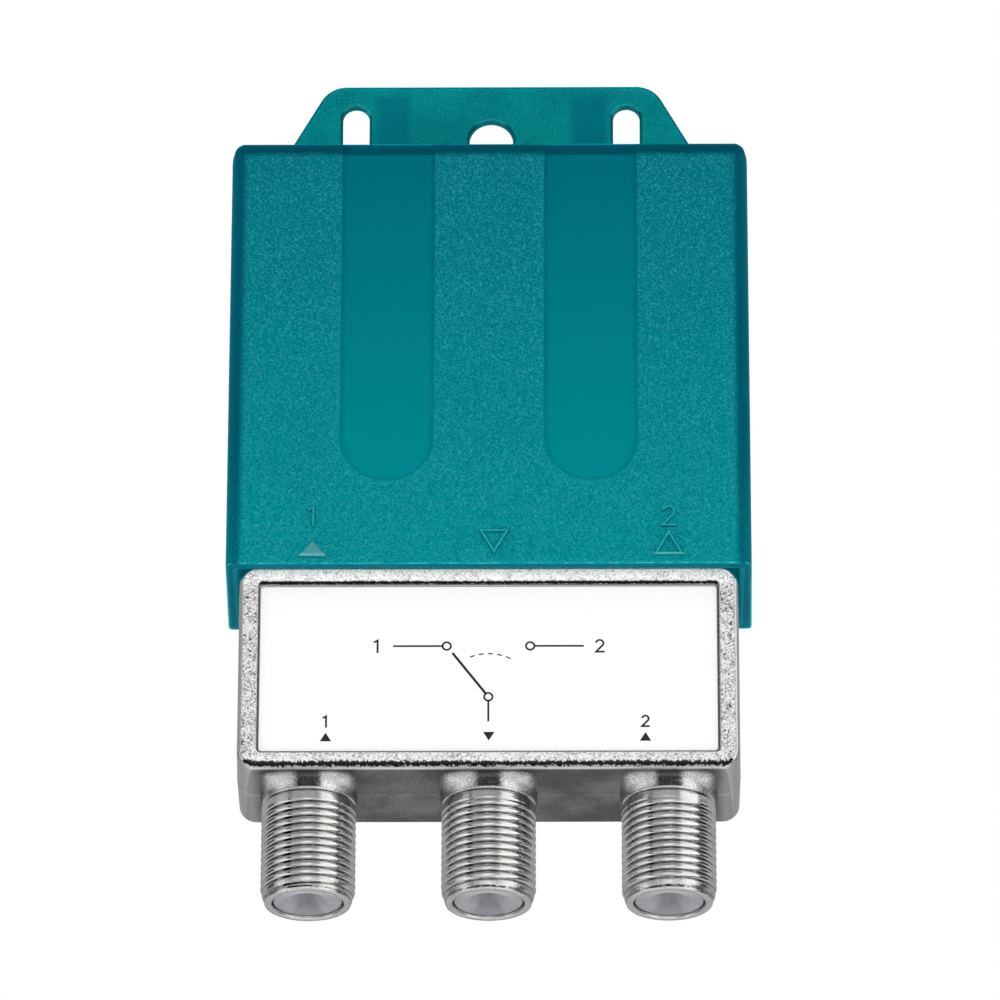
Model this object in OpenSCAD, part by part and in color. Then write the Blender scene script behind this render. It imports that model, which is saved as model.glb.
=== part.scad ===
/* [Cover] */
// Width of the cover at its front face
cover_w = 53.15; // [52.8:0.05:53.6]
// How much wider the cover is at its back than at its front, for both sides together
cover_flare = 0.55; // [0.3:0.05:0.8]
// Height of the cover's sleeve
cover_h = 47.85; // [46:0.05:52]
// Depth of the sleeve, from the front face to the back face
cover_d = 16; // [15.9:0.05:16.6]
// Thickness of the front, the back and the flange
wall = 1.1; // [0.9:0.05:1.1]
// Thickness of the side walls
side_wall = 1.15; // [0.9:0.05:1.2]
// Thickness of the top wall
top_wall = 1.3; // [1:0.1:2]
// Radius of the sleeve's upper corners seen from the front
cover_corner_r = 1.5; // [0.8:0.1:3]
// Radius along the sleeve's front edges
cover_edge_r = 1; // [0.4:0.1:1.4]

/* [Flange] */
// Height of the flange's top edge over the screw hole
flange_up = 6.3; // [5:0.1:9]
// Drop from the screw hole to the top of the sleeve
hole_drop = 8.4; // [8:0.1:10]
// Half width of the flange at its top, before rounding
flange_top_half = 16.95; // [16.5:0.05:18]
// Half width of the flange where it meets the sleeve
flange_base_half = 25; // [22:0.1:26]
// Radius of the flange's upper corners
flange_r = 3; // [1:0.1:3.5]
// Diameter of the screw hole
screw_hole_d = 4.6; // [4.2:0.1:5.2]
// Distance of each tie slot from the middle
slot_x = 14.25; // [13.8:0.05:14.6]
// Width of a tie slot
slot_w = 2.8; // [2.4:0.1:3.2]
// Height of a tie slot's upper end over the screw hole
slot_top = 4.15; // [3.6:0.05:4.6]
// Length of a tie slot, end to end
slot_len = 9.7; // [8:0.1:10.5]

/* [Cover details] */
// Distance of each stand-off rib from the middle
rib_x = 10.3; // [9.8:0.1:10.6]
// Width of a stand-off rib
rib_w = 3.9; // [3:0.1:4.2]
// Height of the stand-off ribs behind the back face
rib_h = 2.4; // [2:0.1:4]
// Distance of each smooth track from the middle
track_x = 10.4; // [9:0.1:12]
// Width of a smooth track
track_w = 9.5; // [8:0.1:10]
// Depth of a smooth track
track_depth = 0.2; // [0.1:0.05:0.3]
// Height of a track's round end over the sleeve's lower edge
track_up = 9.4; // [8:0.1:14]
// Height of the raised marks
mark_h = 0.2; // [0.1:0.05:0.3]

/* [Switch body] */
// Width of the box at its front face
body_w = 50.3; // [49.8:0.05:50.4]
// Extra width at the parting line, for both sides together
body_draft = 0.3; // [0.1:0.05:0.4]
// Height of the box
body_h = 21.7; // [20:0.1:22]
// Depth of the box
body_d = 13.5; // [12.8:0.1:13.6]
// Corner radius of the box seen from the front
body_r = 1.8; // [1:0.1:2.2]
// Wall thickness of the box
body_wall = 1.6; // [1.3:0.1:1.8]
// Width of the frame beside the label
frame_side = 1.95; // [1.6:0.05:2.4]
// Depth of the label recess
recess_d = 0.5; // [0.3:0.05:0.7]
// Thickness of the label
label_t = 0.12; // [0.08:0.02:0.2]

/* [Ports] */
// Spacing of the three ports
port_pitch = 18.1; // [17.6:0.1:18.4]
// Outside diameter of the port thread
thread_d = 9.525; // [9.525]
// Pitch of the port thread
thread_p = 0.79375; // [0.79375]
// Length of a port below the box
port_len = 12.1; // [11.5:0.1:12.6]
// Bore of a port
port_bore_d = 7.2; // [6.8:0.1:7.4]

/* [Slide] */
// Travel of the box up into the cover
travel = 38; // [30:0.5:38]
// Thickness of the lid's sheet
sheet_t = 0.5; // [0.4:0.05:0.6]
// Width of the slot in the cover's back wall
guide_w = 3.6; // [3.4:0.1:4.5]

/* [Hidden] */
$fn = 64;

// Colours, as the photograph shows them
c_teal = [0.05, 0.53, 0.55, 0.85];
c_nickel = [0.78, 0.78, 0.77];
c_steel = [0.70, 0.71, 0.72];
c_milk = [0.72, 0.73, 0.76];
c_tin = [0.80, 0.79, 0.75];
c_board = [0.10, 0.38, 0.18];
c_black = [0.08, 0.08, 0.09];

// Sleeve: y runs from the back face (0) to the front face (-cover_d)
z_top = -hole_drop;
z_bot = z_top - cover_h;
half_f = cover_w / 2;
half_b = (cover_w + cover_flare) / 2;
// Box: it hangs just below the sleeve, with an equal gap before and behind
gap_y = (cover_d - 2 * wall - body_d) / 2;
y_back = -wall - gap_y;
y_front = y_back - body_d;
b_top = z_bot - 0.05;
b_bot = b_top - body_h;
b_mid = (b_top + b_bot) / 2;
y_part = (y_front + y_back) / 2;
y_floor = y_front + recess_d + 1.25;
in_x = body_w / 2 - body_wall;
in_top = b_top - body_wall;
in_bot = b_bot + body_wall;
// Label recess
rec_half = body_w / 2 - frame_side;
rec_top = b_top - 1.5;
rec_bot = b_bot + 1.7;
// Ports
port_y = y_part + 0.1;
port_x = [-port_pitch, 0, port_pitch];
port_end = b_bot - port_len;
bore_r = port_bore_d / 2;
bore_top = b_bot - 2.5;
neck_r = 4.35;
pin_r = 0.45;
// Circuit board: the port pins lie on its back face
pcb_back = port_y - pin_r;
pcb_t = 1;
pcb_front = pcb_back - pcb_t;
pcb_half = in_x - 0.3;
pcb_top = in_top - 0.3;
pcb_bot = in_bot + 3;
pin_top = pcb_bot + 2.2;
// Lid, tongue and hook
lid_half = in_x + 0.7;
lid_top = in_top + 0.7;
lid_bot = in_bot - 0.7;
guide_bot = z_bot + 7;
hook_z = guide_bot + 0.05;
tongue_half = 4;
hook_half = (guide_w - 0.6) / 2;
guide_top = hook_z + sheet_t + travel + 0.15;

// Convex polygon whose corners are round, with a radius for each corner
module round_polygon(p, r) {
    n = len(p);
    t = [for (i = [0:n - 1])
        let (a = p[(i + n - 1) % n] - p[i], b = p[(i + 1) % n] - p[i],
            ua = a / norm(a), ub = b / norm(b),
            half = acos(ua * ub) / 2, m = (ua + ub) / norm(ua + ub))
        [p[i] + ua * r[i] / tan(half), p[i] + m * r[i] / sin(half),
            p[i] + ub * r[i] / tan(half)]];
    polygon([for (i = [0:n - 1]) each (r[i] > 0 ? [t[i][0], t[i][2]] : [p[i]])]);
    for (i = [0:n - 1]) if (r[i] > 0) translate(t[i][1]) circle(r = r[i]);
}

// Solids swept along one axis, from a profile in the other two
module along_z(z0, z1) { translate([0, 0, z0]) linear_extrude(z1 - z0) children(); }
// profile in X and Z, solid from y0 to y1
module along_y(y0, y1) { translate([0, y1, 0]) rotate([90, 0, 0]) linear_extrude(y1 - y0) children(); }
// profile in Y and Z, solid from x0 to x1
module along_x(x0, x1) { translate([x0, 0, 0]) rotate([90, 0, 90]) linear_extrude(x1 - x0) children(); }
// box from its two corners
module block(a, b) { translate(a) cube(b - a); }
// upright slot outline with round ends, z0 and z1 being its ends
module slot_outline(x, w, z0, z1) {
    translate([x, z0 + w / 2]) circle(d = w);
    translate([x, z1 - w / 2]) circle(d = w);
    translate([x - w / 2, z0 + w / 2]) square([w, z1 - z0 - w]);
}

// ---- rain cover ----
module sleeve_outside() {
    intersection() {
        along_z(z_bot, z_top)
            round_polygon([[-half_f, -cover_d], [half_f, -cover_d], [half_b, 0], [-half_b, 0]],
                [cover_edge_r, cover_edge_r, 0.3, 0.3]);
        along_y(-cover_d - 1, 1)
            round_polygon([[-half_b, z_bot], [half_b, z_bot], [half_b, z_top], [-half_b, z_top]],
                [0.3, 0.3, cover_corner_r, cover_corner_r]);
        along_x(-half_b - 1, half_b + 1)
            round_polygon([[-cover_d, z_bot], [0, z_bot], [0, z_top], [-cover_d, z_top]],
                [0.3, 0.2, 0, cover_edge_r]);
    }
}
module sleeve_inside() {
    along_z(z_bot - 2, z_top - top_wall)
        round_polygon([[-half_f + side_wall, -cover_d + wall], [half_f - side_wall, -cover_d + wall],
            [half_b - side_wall + 0.02, -wall + 1], [-half_b + side_wall - 0.02, -wall + 1]],
            [0.4, 0.4, 0, 0]);
}
module flange_plate() {
    along_y(-wall, 0)
        round_polygon([[-flange_base_half, z_top - 2], [flange_base_half, z_top - 2],
            [flange_base_half, z_top], [flange_top_half, flange_up],
            [-flange_top_half, flange_up], [-flange_base_half, z_top]],
            [0, 0, 0, flange_r, flange_r, 0]);
}
module stand_off_rib(x) {
    along_x(x - rib_w / 2, x + rib_w / 2)
        polygon([[0, z_bot + 1.5], [rib_h, z_bot + 1.5 + rib_h],
            [rib_h, flange_up - 0.8 - rib_h * 0.6], [0, flange_up - 0.8]]);
}
module track_cut(x) {
    along_y(-cover_d - 1, -cover_d + track_depth) {
        translate([x, z_bot + track_up + track_w / 2]) circle(d = track_w);
        translate([x - track_w / 2, z_bot + track_up + track_w / 2]) square([track_w, cover_h]);
    }
}
// Raised marks: a solid arrow head, two outlined ones and two plain numbers
module arrow(x, z, w, h) { polygon([[x - w / 2, z], [x + w / 2, z], [x, z + h]]); }
module outlined_arrow(x, z, w, h) {
    s = sign(h);
    difference() {
        arrow(x, z, w, h);
        arrow(x, z + 0.32 * s, w - 1.25, h - 1.12 * s);
    }
}
module digit_one(x, z, h) {
    s = h / 2.4;
    translate([x, z]) polygon([[-0.16, 0], [0.2, 0], [0.2, 2.4], [-0.1, 2.4], [-0.62, 2.02],
        [-0.46, 1.72], [-0.16, 1.92]] * s);
}
module digit_two(x, z, h) {
    s = h / 2.4;
    translate([x, z]) {
        polygon([[-0.75, 0], [0.78, 0], [0.78, 0.36], [-0.2, 0.36], [0.62, 1.26], [0.3, 1.5],
            [-0.75, 0.36]] * s);
        intersection() {
            translate([0, 1.67 * s]) difference() {
                circle(r = 0.75 * s);
                circle(r = 0.39 * s);
            }
            polygon([[0, 1.67], [0.47, 1.3], [0.9, 1.2], [0.9, 2.6], [-0.9, 2.6], [-0.9, 1.67]] * s);
        }
    }
}
module raised_marks() {
    along_y(-cover_d - mark_h, -cover_d + 0.2) {
        arrow(-17.8, z_bot + 0.85, 2.95, 1.8);
        outlined_arrow(0.55, z_bot + 3.85, 3.3, -2.9);
        outlined_arrow(18.2, z_bot + 1.0, 3.2, 2.9);
        digit_one(-17.8, z_bot + 4.1, 2.4);
        digit_two(18.2, z_bot + 4.1, 2.4);
    }
}
// The cover is one moulding, held here as solids that meet face to face: the sleeve's front,
// sides and top, the flat plate behind them that goes on up as the flange, and the ribs behind it
module rain_cover() {
    color(c_teal) union() {
        difference() {
            intersection() {
                sleeve_outside();
                block([-40, -cover_d - 1, z_bot - 1], [40, -wall, z_top + 1]);
            }
            sleeve_inside();
            for (s = [-1, 1]) track_cut(s * track_x);
        }
        raised_marks();
    }
}
module mounting_flange() {
    color(c_teal) difference() {
        union() {
            intersection() {
                sleeve_outside();
                block([-40, -wall, z_bot - 1], [40, 1, z_top + 1]);
            }
            flange_plate();
        }
        // screw hole and tie slots
        rotate([90, 0, 0]) translate([0, 0, -5]) cylinder(d = screw_hole_d, h = 12);
        for (s = [-1, 1]) along_y(-wall - 1, 1)
            slot_outline(s * slot_x, slot_w, slot_top - slot_len, slot_top);
        // slot that guides the lid's hook
        block([-guide_w / 2, -wall - 0.5, guide_bot], [guide_w / 2, 0.5, guide_top]);
    }
}
module stand_off_ribs() {
    color(c_teal) for (s = [-1, 1]) stand_off_rib(s * rib_x);
}

// ---- switch housing ----
module box_outside() {
    e = body_draft / 2;
    c = 0.35;
    intersection() {
        along_z(b_bot, b_top)
            polygon([[-body_w / 2 + c, y_front], [body_w / 2 - c, y_front], [body_w / 2, y_front + c],
                [body_w / 2 + e, y_part], [body_w / 2, y_back - 0.2], [body_w / 2 - 0.2, y_back],
                [-body_w / 2 + 0.2, y_back], [-body_w / 2, y_back - 0.2], [-body_w / 2 - e, y_part],
                [-body_w / 2, y_front + c]]);
        along_y(y_front, y_back)
            round_polygon([[-body_w / 2 - e, b_bot], [body_w / 2 + e, b_bot],
                [body_w / 2 + e, b_top], [-body_w / 2 - e, b_top]],
                [body_r, body_r, body_r, body_r]);
        along_x(-body_w, body_w)
            polygon([[y_front, b_bot + c + 0.05], [y_front + c, b_bot + 0.05], [y_part, b_bot],
                [y_back - 0.2, b_bot + 0.05], [y_back, b_bot + 0.25], [y_back, b_top - 0.25],
                [y_back - 0.2, b_top - 0.05], [y_part, b_top], [y_front + c, b_top - 0.05],
                [y_front, b_top - c - 0.05]]);
    }
}
// Outline of one port barrel: fillet at the root, neck, plain collar, thread, tapered end
function port_outline() =
    let (r = thread_d / 2, root = r - 0.6134 * thread_p * 0.8, p = thread_p,
        z0 = -2.9, turns = floor((port_len - 0.55 + z0) / p),
        f = 1.25)
    concat(
        [[0, 0.5], [neck_r + f, 0.5], [neck_r + f, 0]],
        [for (a = [15:15:90]) [neck_r + f - f * sin(a), -f + f * cos(a)]],
        [[neck_r, -1.45], [r - 0.08, -1.62], [r, -1.8], [r, z0 + 0.25]],
        [for (i = [0:turns - 1]) each [[root, z0 - i * p], [root, z0 - i * p - p / 8],
            [r, z0 - (i + 0.5) * p], [r, z0 - (i + 0.5) * p - p / 8]]],
        [[root + 0.1, z0 - turns * p], [4.35, -port_len + 0.12], [4.2, -port_len], [0, -port_len]]);
module port_barrel(x) {
    translate([x, port_y, b_bot]) rotate_extrude() polygon(port_outline());
}
module switch_housing() {
    color(c_nickel) difference() {
        union() {
            difference() {
                box_outside();
                // inside of the box, open at the back
                along_y(y_floor, y_back + 1)
                    round_polygon([[-in_x, in_bot], [in_x, in_bot], [in_x, in_top], [-in_x, in_top]],
                        [0.8, 0.8, 0.8, 0.8]);
                // rebate for the lid, with a gap for its tongue
                along_y(y_back - sheet_t, y_back + 1)
                    round_polygon([[-lid_half - 0.05, lid_bot - 0.05], [lid_half + 0.05, lid_bot - 0.05],
                        [lid_half + 0.05, lid_top + 0.05], [-lid_half - 0.05, lid_top + 0.05]],
                        [1, 1, 1, 1]);
                block([-tongue_half - 0.1, y_back - sheet_t, lid_top - 1],
                    [tongue_half + 0.1, y_back + 1, b_top + 1]);
                // label recess
                along_y(y_front - 1, y_front + recess_d)
                    round_polygon([[-rec_half, rec_bot], [rec_half, rec_bot], [rec_half, rec_top],
                        [-rec_half, rec_top]], [1, 1, 1, 1]);
            }
            for (x = port_x) port_barrel(x);
            // corner posts that carry the circuit board
            for (sx = [-1, 1]) {
                block([sx > 0 ? in_x - 2.6 : -in_x - 0.1, y_floor - 0.1, in_top - 2.8],
                    [sx > 0 ? in_x + 0.1 : -in_x + 2.6, pcb_front, in_top + 0.1]);
                block([sx > 0 ? in_x - 2.6 : -in_x - 0.1, y_floor - 0.1, pcb_bot - 0.4],
                    [sx > 0 ? in_x + 0.1 : -in_x + 2.6, pcb_front, pcb_bot + 1.8]);
            }
        }
        for (x = port_x) translate([x, port_y, port_end - 1]) {
            cylinder(r = bore_r, h = bore_top - port_end + 1);
            cylinder(r = 1.5, h = in_bot - port_end + 2);
        }
    }
}

// ---- lid with its tongue and hook ----
module back_lid() {
    color(c_steel) union() {
        along_y(y_back - sheet_t, y_back)
            round_polygon([[-lid_half, lid_bot], [lid_half, lid_bot], [lid_half, lid_top],
                [-lid_half, lid_top]], [0.95, 0.95, 0.95, 0.95]);
        block([-tongue_half, y_back - sheet_t, lid_top - 1], [tongue_half, y_back, hook_z - 0.6]);
        along_y(y_back - sheet_t, y_back)
            round_polygon([[-tongue_half, hook_z - 1.6], [tongue_half, hook_z - 1.6],
                [tongue_half, hook_z + sheet_t], [-tongue_half, hook_z + sheet_t]], [0, 0, 0.6, 0.6]);
        // two pressed stiffening bars
        for (s = [-1, 1]) along_y(y_back - sheet_t - 0.3, y_back - sheet_t + 0.1)
            slot_outline(s * 14, 2.2, lid_bot + 3.4, lid_top - 3.4);
        // the hook goes back through the slot and down behind the wall
        block([-hook_half, y_back - 0.1, hook_z], [hook_half, 0.3 + sheet_t, hook_z + sheet_t]);
        block([-hook_half, 0.3, hook_z - 3.4], [hook_half, 0.3 + sheet_t, hook_z + sheet_t]);
    }
}

// ---- label ----
module label() {
    g = 0.18;
    color("white") along_y(y_front + recess_d - label_t, y_front + recess_d)
        round_polygon([[-rec_half + g, rec_bot + g], [rec_half - g, rec_bot + g],
            [rec_half - g, rec_top - g], [-rec_half + g, rec_top - g]], [0.8, 0.8, 0.8, 0.8]);
}

// ---- ports ----
module port_insulator(x) {
    color(c_milk) translate([x, port_y, 0]) difference() {
        union() {
            translate([0, 0, port_end + 0.25]) cylinder(r = bore_r, h = bore_top - port_end - 0.25);
            translate([0, 0, bore_top - 0.1]) cylinder(r = 1.5, h = in_bot - bore_top + 0.6);
        }
        // funnel, spring chamber and pin hole
        translate([0, 0, port_end + 0.25 - 0.01]) cylinder(r1 = 2.6, r2 = 0.65, h = 1.5);
        translate([0, 0, port_end + 1]) cylinder(r = 0.65, h = 2);
        translate([0, 0, port_end + 2.3]) cylinder(r = 1, h = bore_top - port_end - 2.3);
        translate([0, 0, bore_top - 0.5]) cylinder(r = pin_r, h = 10);
    }
}
module port_contact(x) {
    color(c_tin) translate([x, port_y, 0]) difference() {
        union() {
            translate([0, 0, port_end + 2.3]) cylinder(r = 1, h = bore_top - port_end - 2.3);
            translate([0, 0, bore_top - 0.1]) cylinder(r = pin_r, h = pin_top - bore_top + 0.1);
        }
        translate([0, 0, port_end + 2.2]) cylinder(r = 0.5, h = 5.1);
        translate([-2, -0.11, port_end + 2.2]) cube([4, 0.22, 4.2]);
    }
}
module port_insulator_left() { port_insulator(port_x[0]); }
module port_insulator_centre() { port_insulator(port_x[1]); }
module port_insulator_right() { port_insulator(port_x[2]); }
module port_contact_left() { port_contact(port_x[0]); }
module port_contact_centre() { port_contact(port_x[1]); }
module port_contact_right() { port_contact(port_x[2]); }

// ---- circuit board and what is on it ----
// Places on the board: X, and the height over its lower edge
module circuit_board() {
    color(c_board) along_y(pcb_front, pcb_back) difference() {
        round_polygon([[-pcb_half, pcb_bot], [pcb_half, pcb_bot], [pcb_half, pcb_top],
            [-pcb_half, pcb_top]], [0.6, 0.6, 0.6, 0.6]);
        for (x = [-11, 10.2]) translate([x, pcb_top - 2]) circle(r = 0.8);
    }
}
module solder_joints() {
    color(c_tin) for (x = port_x) difference() {
        union() {
            translate([x, port_y, pcb_bot + 0.35]) cylinder(r = 0.95, h = 1.6);
            translate([x, port_y, pcb_bot + 1.95]) cylinder(r1 = 0.95, r2 = 0.55, h = 0.35);
        }
        block([x - 3, pcb_back - 3, pcb_bot - 1], [x + 3, pcb_back, pcb_bot + 5]);
        // the pin, and the gap under it where it lies on the board
        translate([x, port_y, pcb_bot - 1]) cylinder(r = pin_r, h = 6);
        block([x - 0.25, pcb_back - 1, pcb_bot - 1], [x + 0.25, port_y, pcb_bot + 5]);
    }
}
module microcontroller() {
    color(c_black) translate([-6.2, pcb_back, pcb_bot + 9.2]) difference() {
        union() {
            block([-1.95, 0.12, -2.45], [1.95, 0.85, 2.45]);
            block([-1.87, 0.8, -2.37], [1.87, 1.5, 2.37]);
        }
        translate([-1.2, 1.42, 1.7]) rotate([-90, 0, 0]) cylinder(r = 0.3, h = 1);
    }
}
module microcontroller_leads() {
    color(c_tin) translate([-6.2, pcb_back, pcb_bot + 9.2])
        for (i = [-1.5:1:1.5], s = [-1, 1]) scale([s, 1, 1]) {
            block([1.95, 0.62, i * 1.27 - 0.2], [2.4, 0.82, i * 1.27 + 0.2]);
            block([2.2, 0, i * 1.27 - 0.2], [2.4, 0.82, i * 1.27 + 0.2]);
            block([2.2, 0, i * 1.27 - 0.2], [3.05, 0.2, i * 1.27 + 0.2]);
        }
}
module voltage_regulator() {
    color(c_black) translate([5.6, pcb_back, pcb_bot + 11.2]) {
        block([-2.25, 0.1, -1.25], [2.25, 1.5, 1.25]);
        block([-0.85, 0, 1.2], [0.85, 0.4, 2]);
        for (x = [-1.5, 0, 1.5]) block([x - 0.22, 0, -2.1], [x + 0.22, 0.4, -1.2]);
    }
}
choke_at = [[-17.6, 6.4], [2.7, 5.6], [17.6, 6.4]];
module choke_cores() {
    color(c_black) for (p = choke_at) translate([p[0], pcb_back, pcb_bot + p[1]])
        rotate([-90, 0, 0]) rotate_extrude()
            polygon([[0, 0], [2, 0], [2, 0.6], [1, 0.6], [1, 2.4], [2, 2.4], [2, 3], [0, 3]]);
}
module choke_windings() {
    color([0.72, 0.38, 0.18]) for (p = choke_at) translate([p[0], pcb_back, pcb_bot + p[1]])
        rotate([-90, 0, 0]) rotate_extrude()
            polygon(concat([[1, 0.6]], [for (i = [0:8]) each [[1.62, 0.6 + i * 0.2], [1.75, 0.7 + i * 0.2]]],
                [[1.62, 2.4], [1, 2.4]]));
}
// chip with end caps; turned stands it along Z
module chip(x, z, l, w, h, turned) {
    translate([x, pcb_back, pcb_bot + z]) rotate([0, turned ? 90 : 0, 0]) {
        block([-l / 2 + 0.3, 0.03, -w / 2 + 0.04], [l / 2 - 0.3, h - 0.04, w / 2 - 0.04]);
        for (s = [-1, 1]) block([s > 0 ? l / 2 - 0.4 : -l / 2, 0, -w / 2],
            [s > 0 ? l / 2 : -l / 2 + 0.4, h, w / 2]);
    }
}
module ceramic_capacitors() {
    color([0.62, 0.5, 0.36])
        for (c = [[-20.8, 10.6, true], [-14.4, 3.2, false], [-10.9, 4.6, false], [-1.6, 10.4, true],
            [7.2, 6.2, true], [13.4, 9.6, false], [20.9, 10.8, true], [13.9, 3.2, false]])
            chip(c[0], c[1], 2, 1.25, 0.9, c[2]);
}
module chip_resistors() {
    color([0.12, 0.12, 0.13])
        for (c = [[-20.9, 4, true], [-13.2, 10.8, false], [-13.2, 8.6, false], [-1.6, 7, true],
            [9.4, 5.6, true], [21, 4, true], [10.6, 8.8, false]])
            chip(c[0], c[1], 2, 1.25, 0.5, c[2]);
}
module capacitor_base() {
    color(c_black) translate([-17, pcb_back, pcb_bot + 12]) rotate([-90, 0, 0])
        linear_extrude(0.9) polygon([[-2.65, -1.9], [-1.9, -2.65], [2.65, -2.65], [2.65, 2.65],
            [-1.9, 2.65], [-2.65, 1.9]]);
}
module capacitor_can() {
    color(c_steel) translate([-17, pcb_back + 0.9, pcb_bot + 12]) rotate([-90, 0, 0]) rotate_extrude()
        polygon([[0, 0], [2.5, 0], [2.5, 0.5], [2.3, 0.75], [2.3, 0.95], [2.5, 1.2], [2.5, 4.2],
            [2.25, 4.4], [0, 4.4]]);
}
module switching_diodes() {
    color(c_black) for (x = [-21, -8.4, 10.6])
        translate([x, pcb_back, pcb_bot + (x < -20 ? 7.3 : 2.2)]) {
            block([-0.85, 0.1, -0.65], [0.85, 1, 0.65]);
            for (s = [-1, 1]) block([s > 0 ? 0.8 : -1.3, 0, -0.3], [s > 0 ? 1.3 : -0.8, 0.35, 0.3]);
        }
}
module switching_transistors() {
    color(c_black) for (p = [[-4.6, 3.2], [6.6, 2.4], [21, 7.4]])
        translate([p[0], pcb_back, pcb_bot + p[1]]) {
            block([-1.45, 0.1, -0.65], [1.45, 1, 0.65]);
            for (x = [-0.95, 0.95]) block([x - 0.2, 0, -1.2], [x + 0.2, 0.3, -0.6]);
            block([-0.2, 0, 0.6], [0.2, 0.3, 1.2]);
        }
}
module ceramic_resonator() {
    color(c_tin) translate([16.5, pcb_back, pcb_bot + 13.9]) rotate([-90, 0, 0]) {
        linear_extrude(0.5) { translate([-2.6, 0]) circle(r = 1.1); translate([2.6, 0]) circle(r = 1.1);
            translate([-2.6, -1.1]) square([5.2, 2.2]); }
        linear_extrude(3) { translate([-2.5, 0]) circle(r = 0.9); translate([2.5, 0]) circle(r = 0.9);
            translate([-2.5, -0.9]) square([5, 1.8]); }
    }
}

rain_cover();
mounting_flange();
stand_off_ribs();
switch_housing();
back_lid();
label();
port_insulator_left();
port_insulator_centre();
port_insulator_right();
port_contact_left();
port_contact_centre();
port_contact_right();
circuit_board();
solder_joints();
microcontroller();
microcontroller_leads();
voltage_regulator();
choke_cores();
choke_windings();
ceramic_capacitors();
chip_resistors();
capacitor_can();
capacitor_base();
switching_diodes();
switching_transistors();
ceramic_resonator();
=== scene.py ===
import math

import bmesh
import bpy
import numpy as np
from mathutils import Matrix, Vector, noise


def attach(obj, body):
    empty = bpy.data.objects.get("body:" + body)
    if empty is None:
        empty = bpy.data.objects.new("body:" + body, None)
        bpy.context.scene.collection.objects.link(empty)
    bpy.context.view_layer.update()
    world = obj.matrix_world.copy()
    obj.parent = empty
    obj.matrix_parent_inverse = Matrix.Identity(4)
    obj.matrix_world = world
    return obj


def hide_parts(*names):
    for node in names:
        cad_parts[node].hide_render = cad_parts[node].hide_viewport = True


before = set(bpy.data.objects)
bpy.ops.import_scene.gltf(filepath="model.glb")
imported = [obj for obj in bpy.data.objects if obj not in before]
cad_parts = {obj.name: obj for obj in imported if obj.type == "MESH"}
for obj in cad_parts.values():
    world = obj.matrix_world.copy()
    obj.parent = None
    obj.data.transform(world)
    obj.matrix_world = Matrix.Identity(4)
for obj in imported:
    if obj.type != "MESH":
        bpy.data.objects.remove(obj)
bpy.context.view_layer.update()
MM = 0.001

# ------------------------------------------------------------------ measures
# All in millimetres, in the frame of the CAD model.
Z_TOP, Z_BOT = -8.20, -56.25          # sleeve of the cover
HALF_F, HALF_B, DEPTH = 26.575, 26.85, 16.0
WALL, SIDE, TOP = 1.1, 1.26, 1.50
TRACK_X, TRACK_W, TRACK_Z = 10.4, 9.5, -42.1
F_TOP, F_TOP_X, F_LOW_X = 6.42, 17.05, 25.1   # flange: top edge, half width there and at the sleeve
B_TOP, B_BOT = -56.3, -78.0          # die-cast box
Y_F, Y_B, Y_P = -14.75, -1.25, -8.0
PORT_X, PORT_Y, PORT_END = (-18.1, 0.0, 18.1), -7.9, -90.1
PITCH, CREST, ROOT = 0.79375, 4.7625, 4.373

# ------------------------------------------------------------------ camera
target = Vector((1.063, -7.55, -45.083)) * MM
az, el, dist, roll = math.radians(0.563), math.radians(-25.45), 0.850, math.radians(0.12)
back = Vector((math.sin(az) * math.cos(el), -math.cos(az) * math.cos(el), math.sin(el)))
cam = bpy.data.objects.new("camera", bpy.data.cameras.new("camera"))
bpy.context.scene.collection.objects.link(cam)
cam.data.sensor_width = 36.0
cam.data.lens = 298.8
cam.data.clip_start, cam.data.clip_end = 0.05, 30.0
right = Vector((0, 0, 1)).cross(back).normalized()
up = back.cross(right)
right, up = (right * math.cos(roll) + up * math.sin(roll), up * math.cos(roll) - right * math.sin(roll))
m = Matrix((right, up, back)).transposed().to_4x4()
m.translation = target + back * dist
cam.matrix_world = m
bpy.context.scene.camera = cam


# ------------------------------------------------------------------ mesh help
def mesh_object(name, verts, faces, scale=MM):
    me = bpy.data.meshes.new(name)
    v = np.asarray(verts, dtype=np.float64) * scale
    me.from_pydata([tuple(p) for p in v], [], faces)
    me.validate()
    me.update()
    ob = bpy.data.objects.new(name, me)
    bpy.context.scene.collection.objects.link(ob)
    return ob


def outward(ob):
    bm = bmesh.new()
    bm.from_mesh(ob.data)
    bmesh.ops.recalc_face_normals(bm, faces=bm.faces)
    bm.to_mesh(ob.data)
    bm.free()
    return ob


def loft(name, sections, closed=True):
    """Closed solid through sections that all have the same number of points."""
    n = len(sections[0])
    verts = [p for s in sections for p in s]
    faces = [list(range(n))[::-1], [(len(sections) - 1) * n + i for i in range(n)]]
    for k in range(len(sections) - 1):
        for i in range(n):
            j = (i + 1) % n
            faces.append([k * n + i, k * n + j, (k + 1) * n + j, (k + 1) * n + i])
    return outward(mesh_object(name, verts, faces))


def in_y(points, y):
    return [(p[0], y, p[1]) for p in points]


def apply_modifiers(ob):
    dg = bpy.context.evaluated_depsgraph_get()
    me = bpy.data.meshes.new_from_object(ob.evaluated_get(dg), depsgraph=dg)
    ob.modifiers.clear()
    old = ob.data
    ob.data = me
    bpy.data.meshes.remove(old)
    return ob


def boolean(ob, other, operation):
    mod = ob.modifiers.new("bool", "BOOLEAN")
    mod.solver = "EXACT"
    mod.operation = operation
    mod.object = other
    bpy.context.view_layer.update()
    apply_modifiers(ob)
    bpy.data.objects.remove(other)
    return ob


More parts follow.
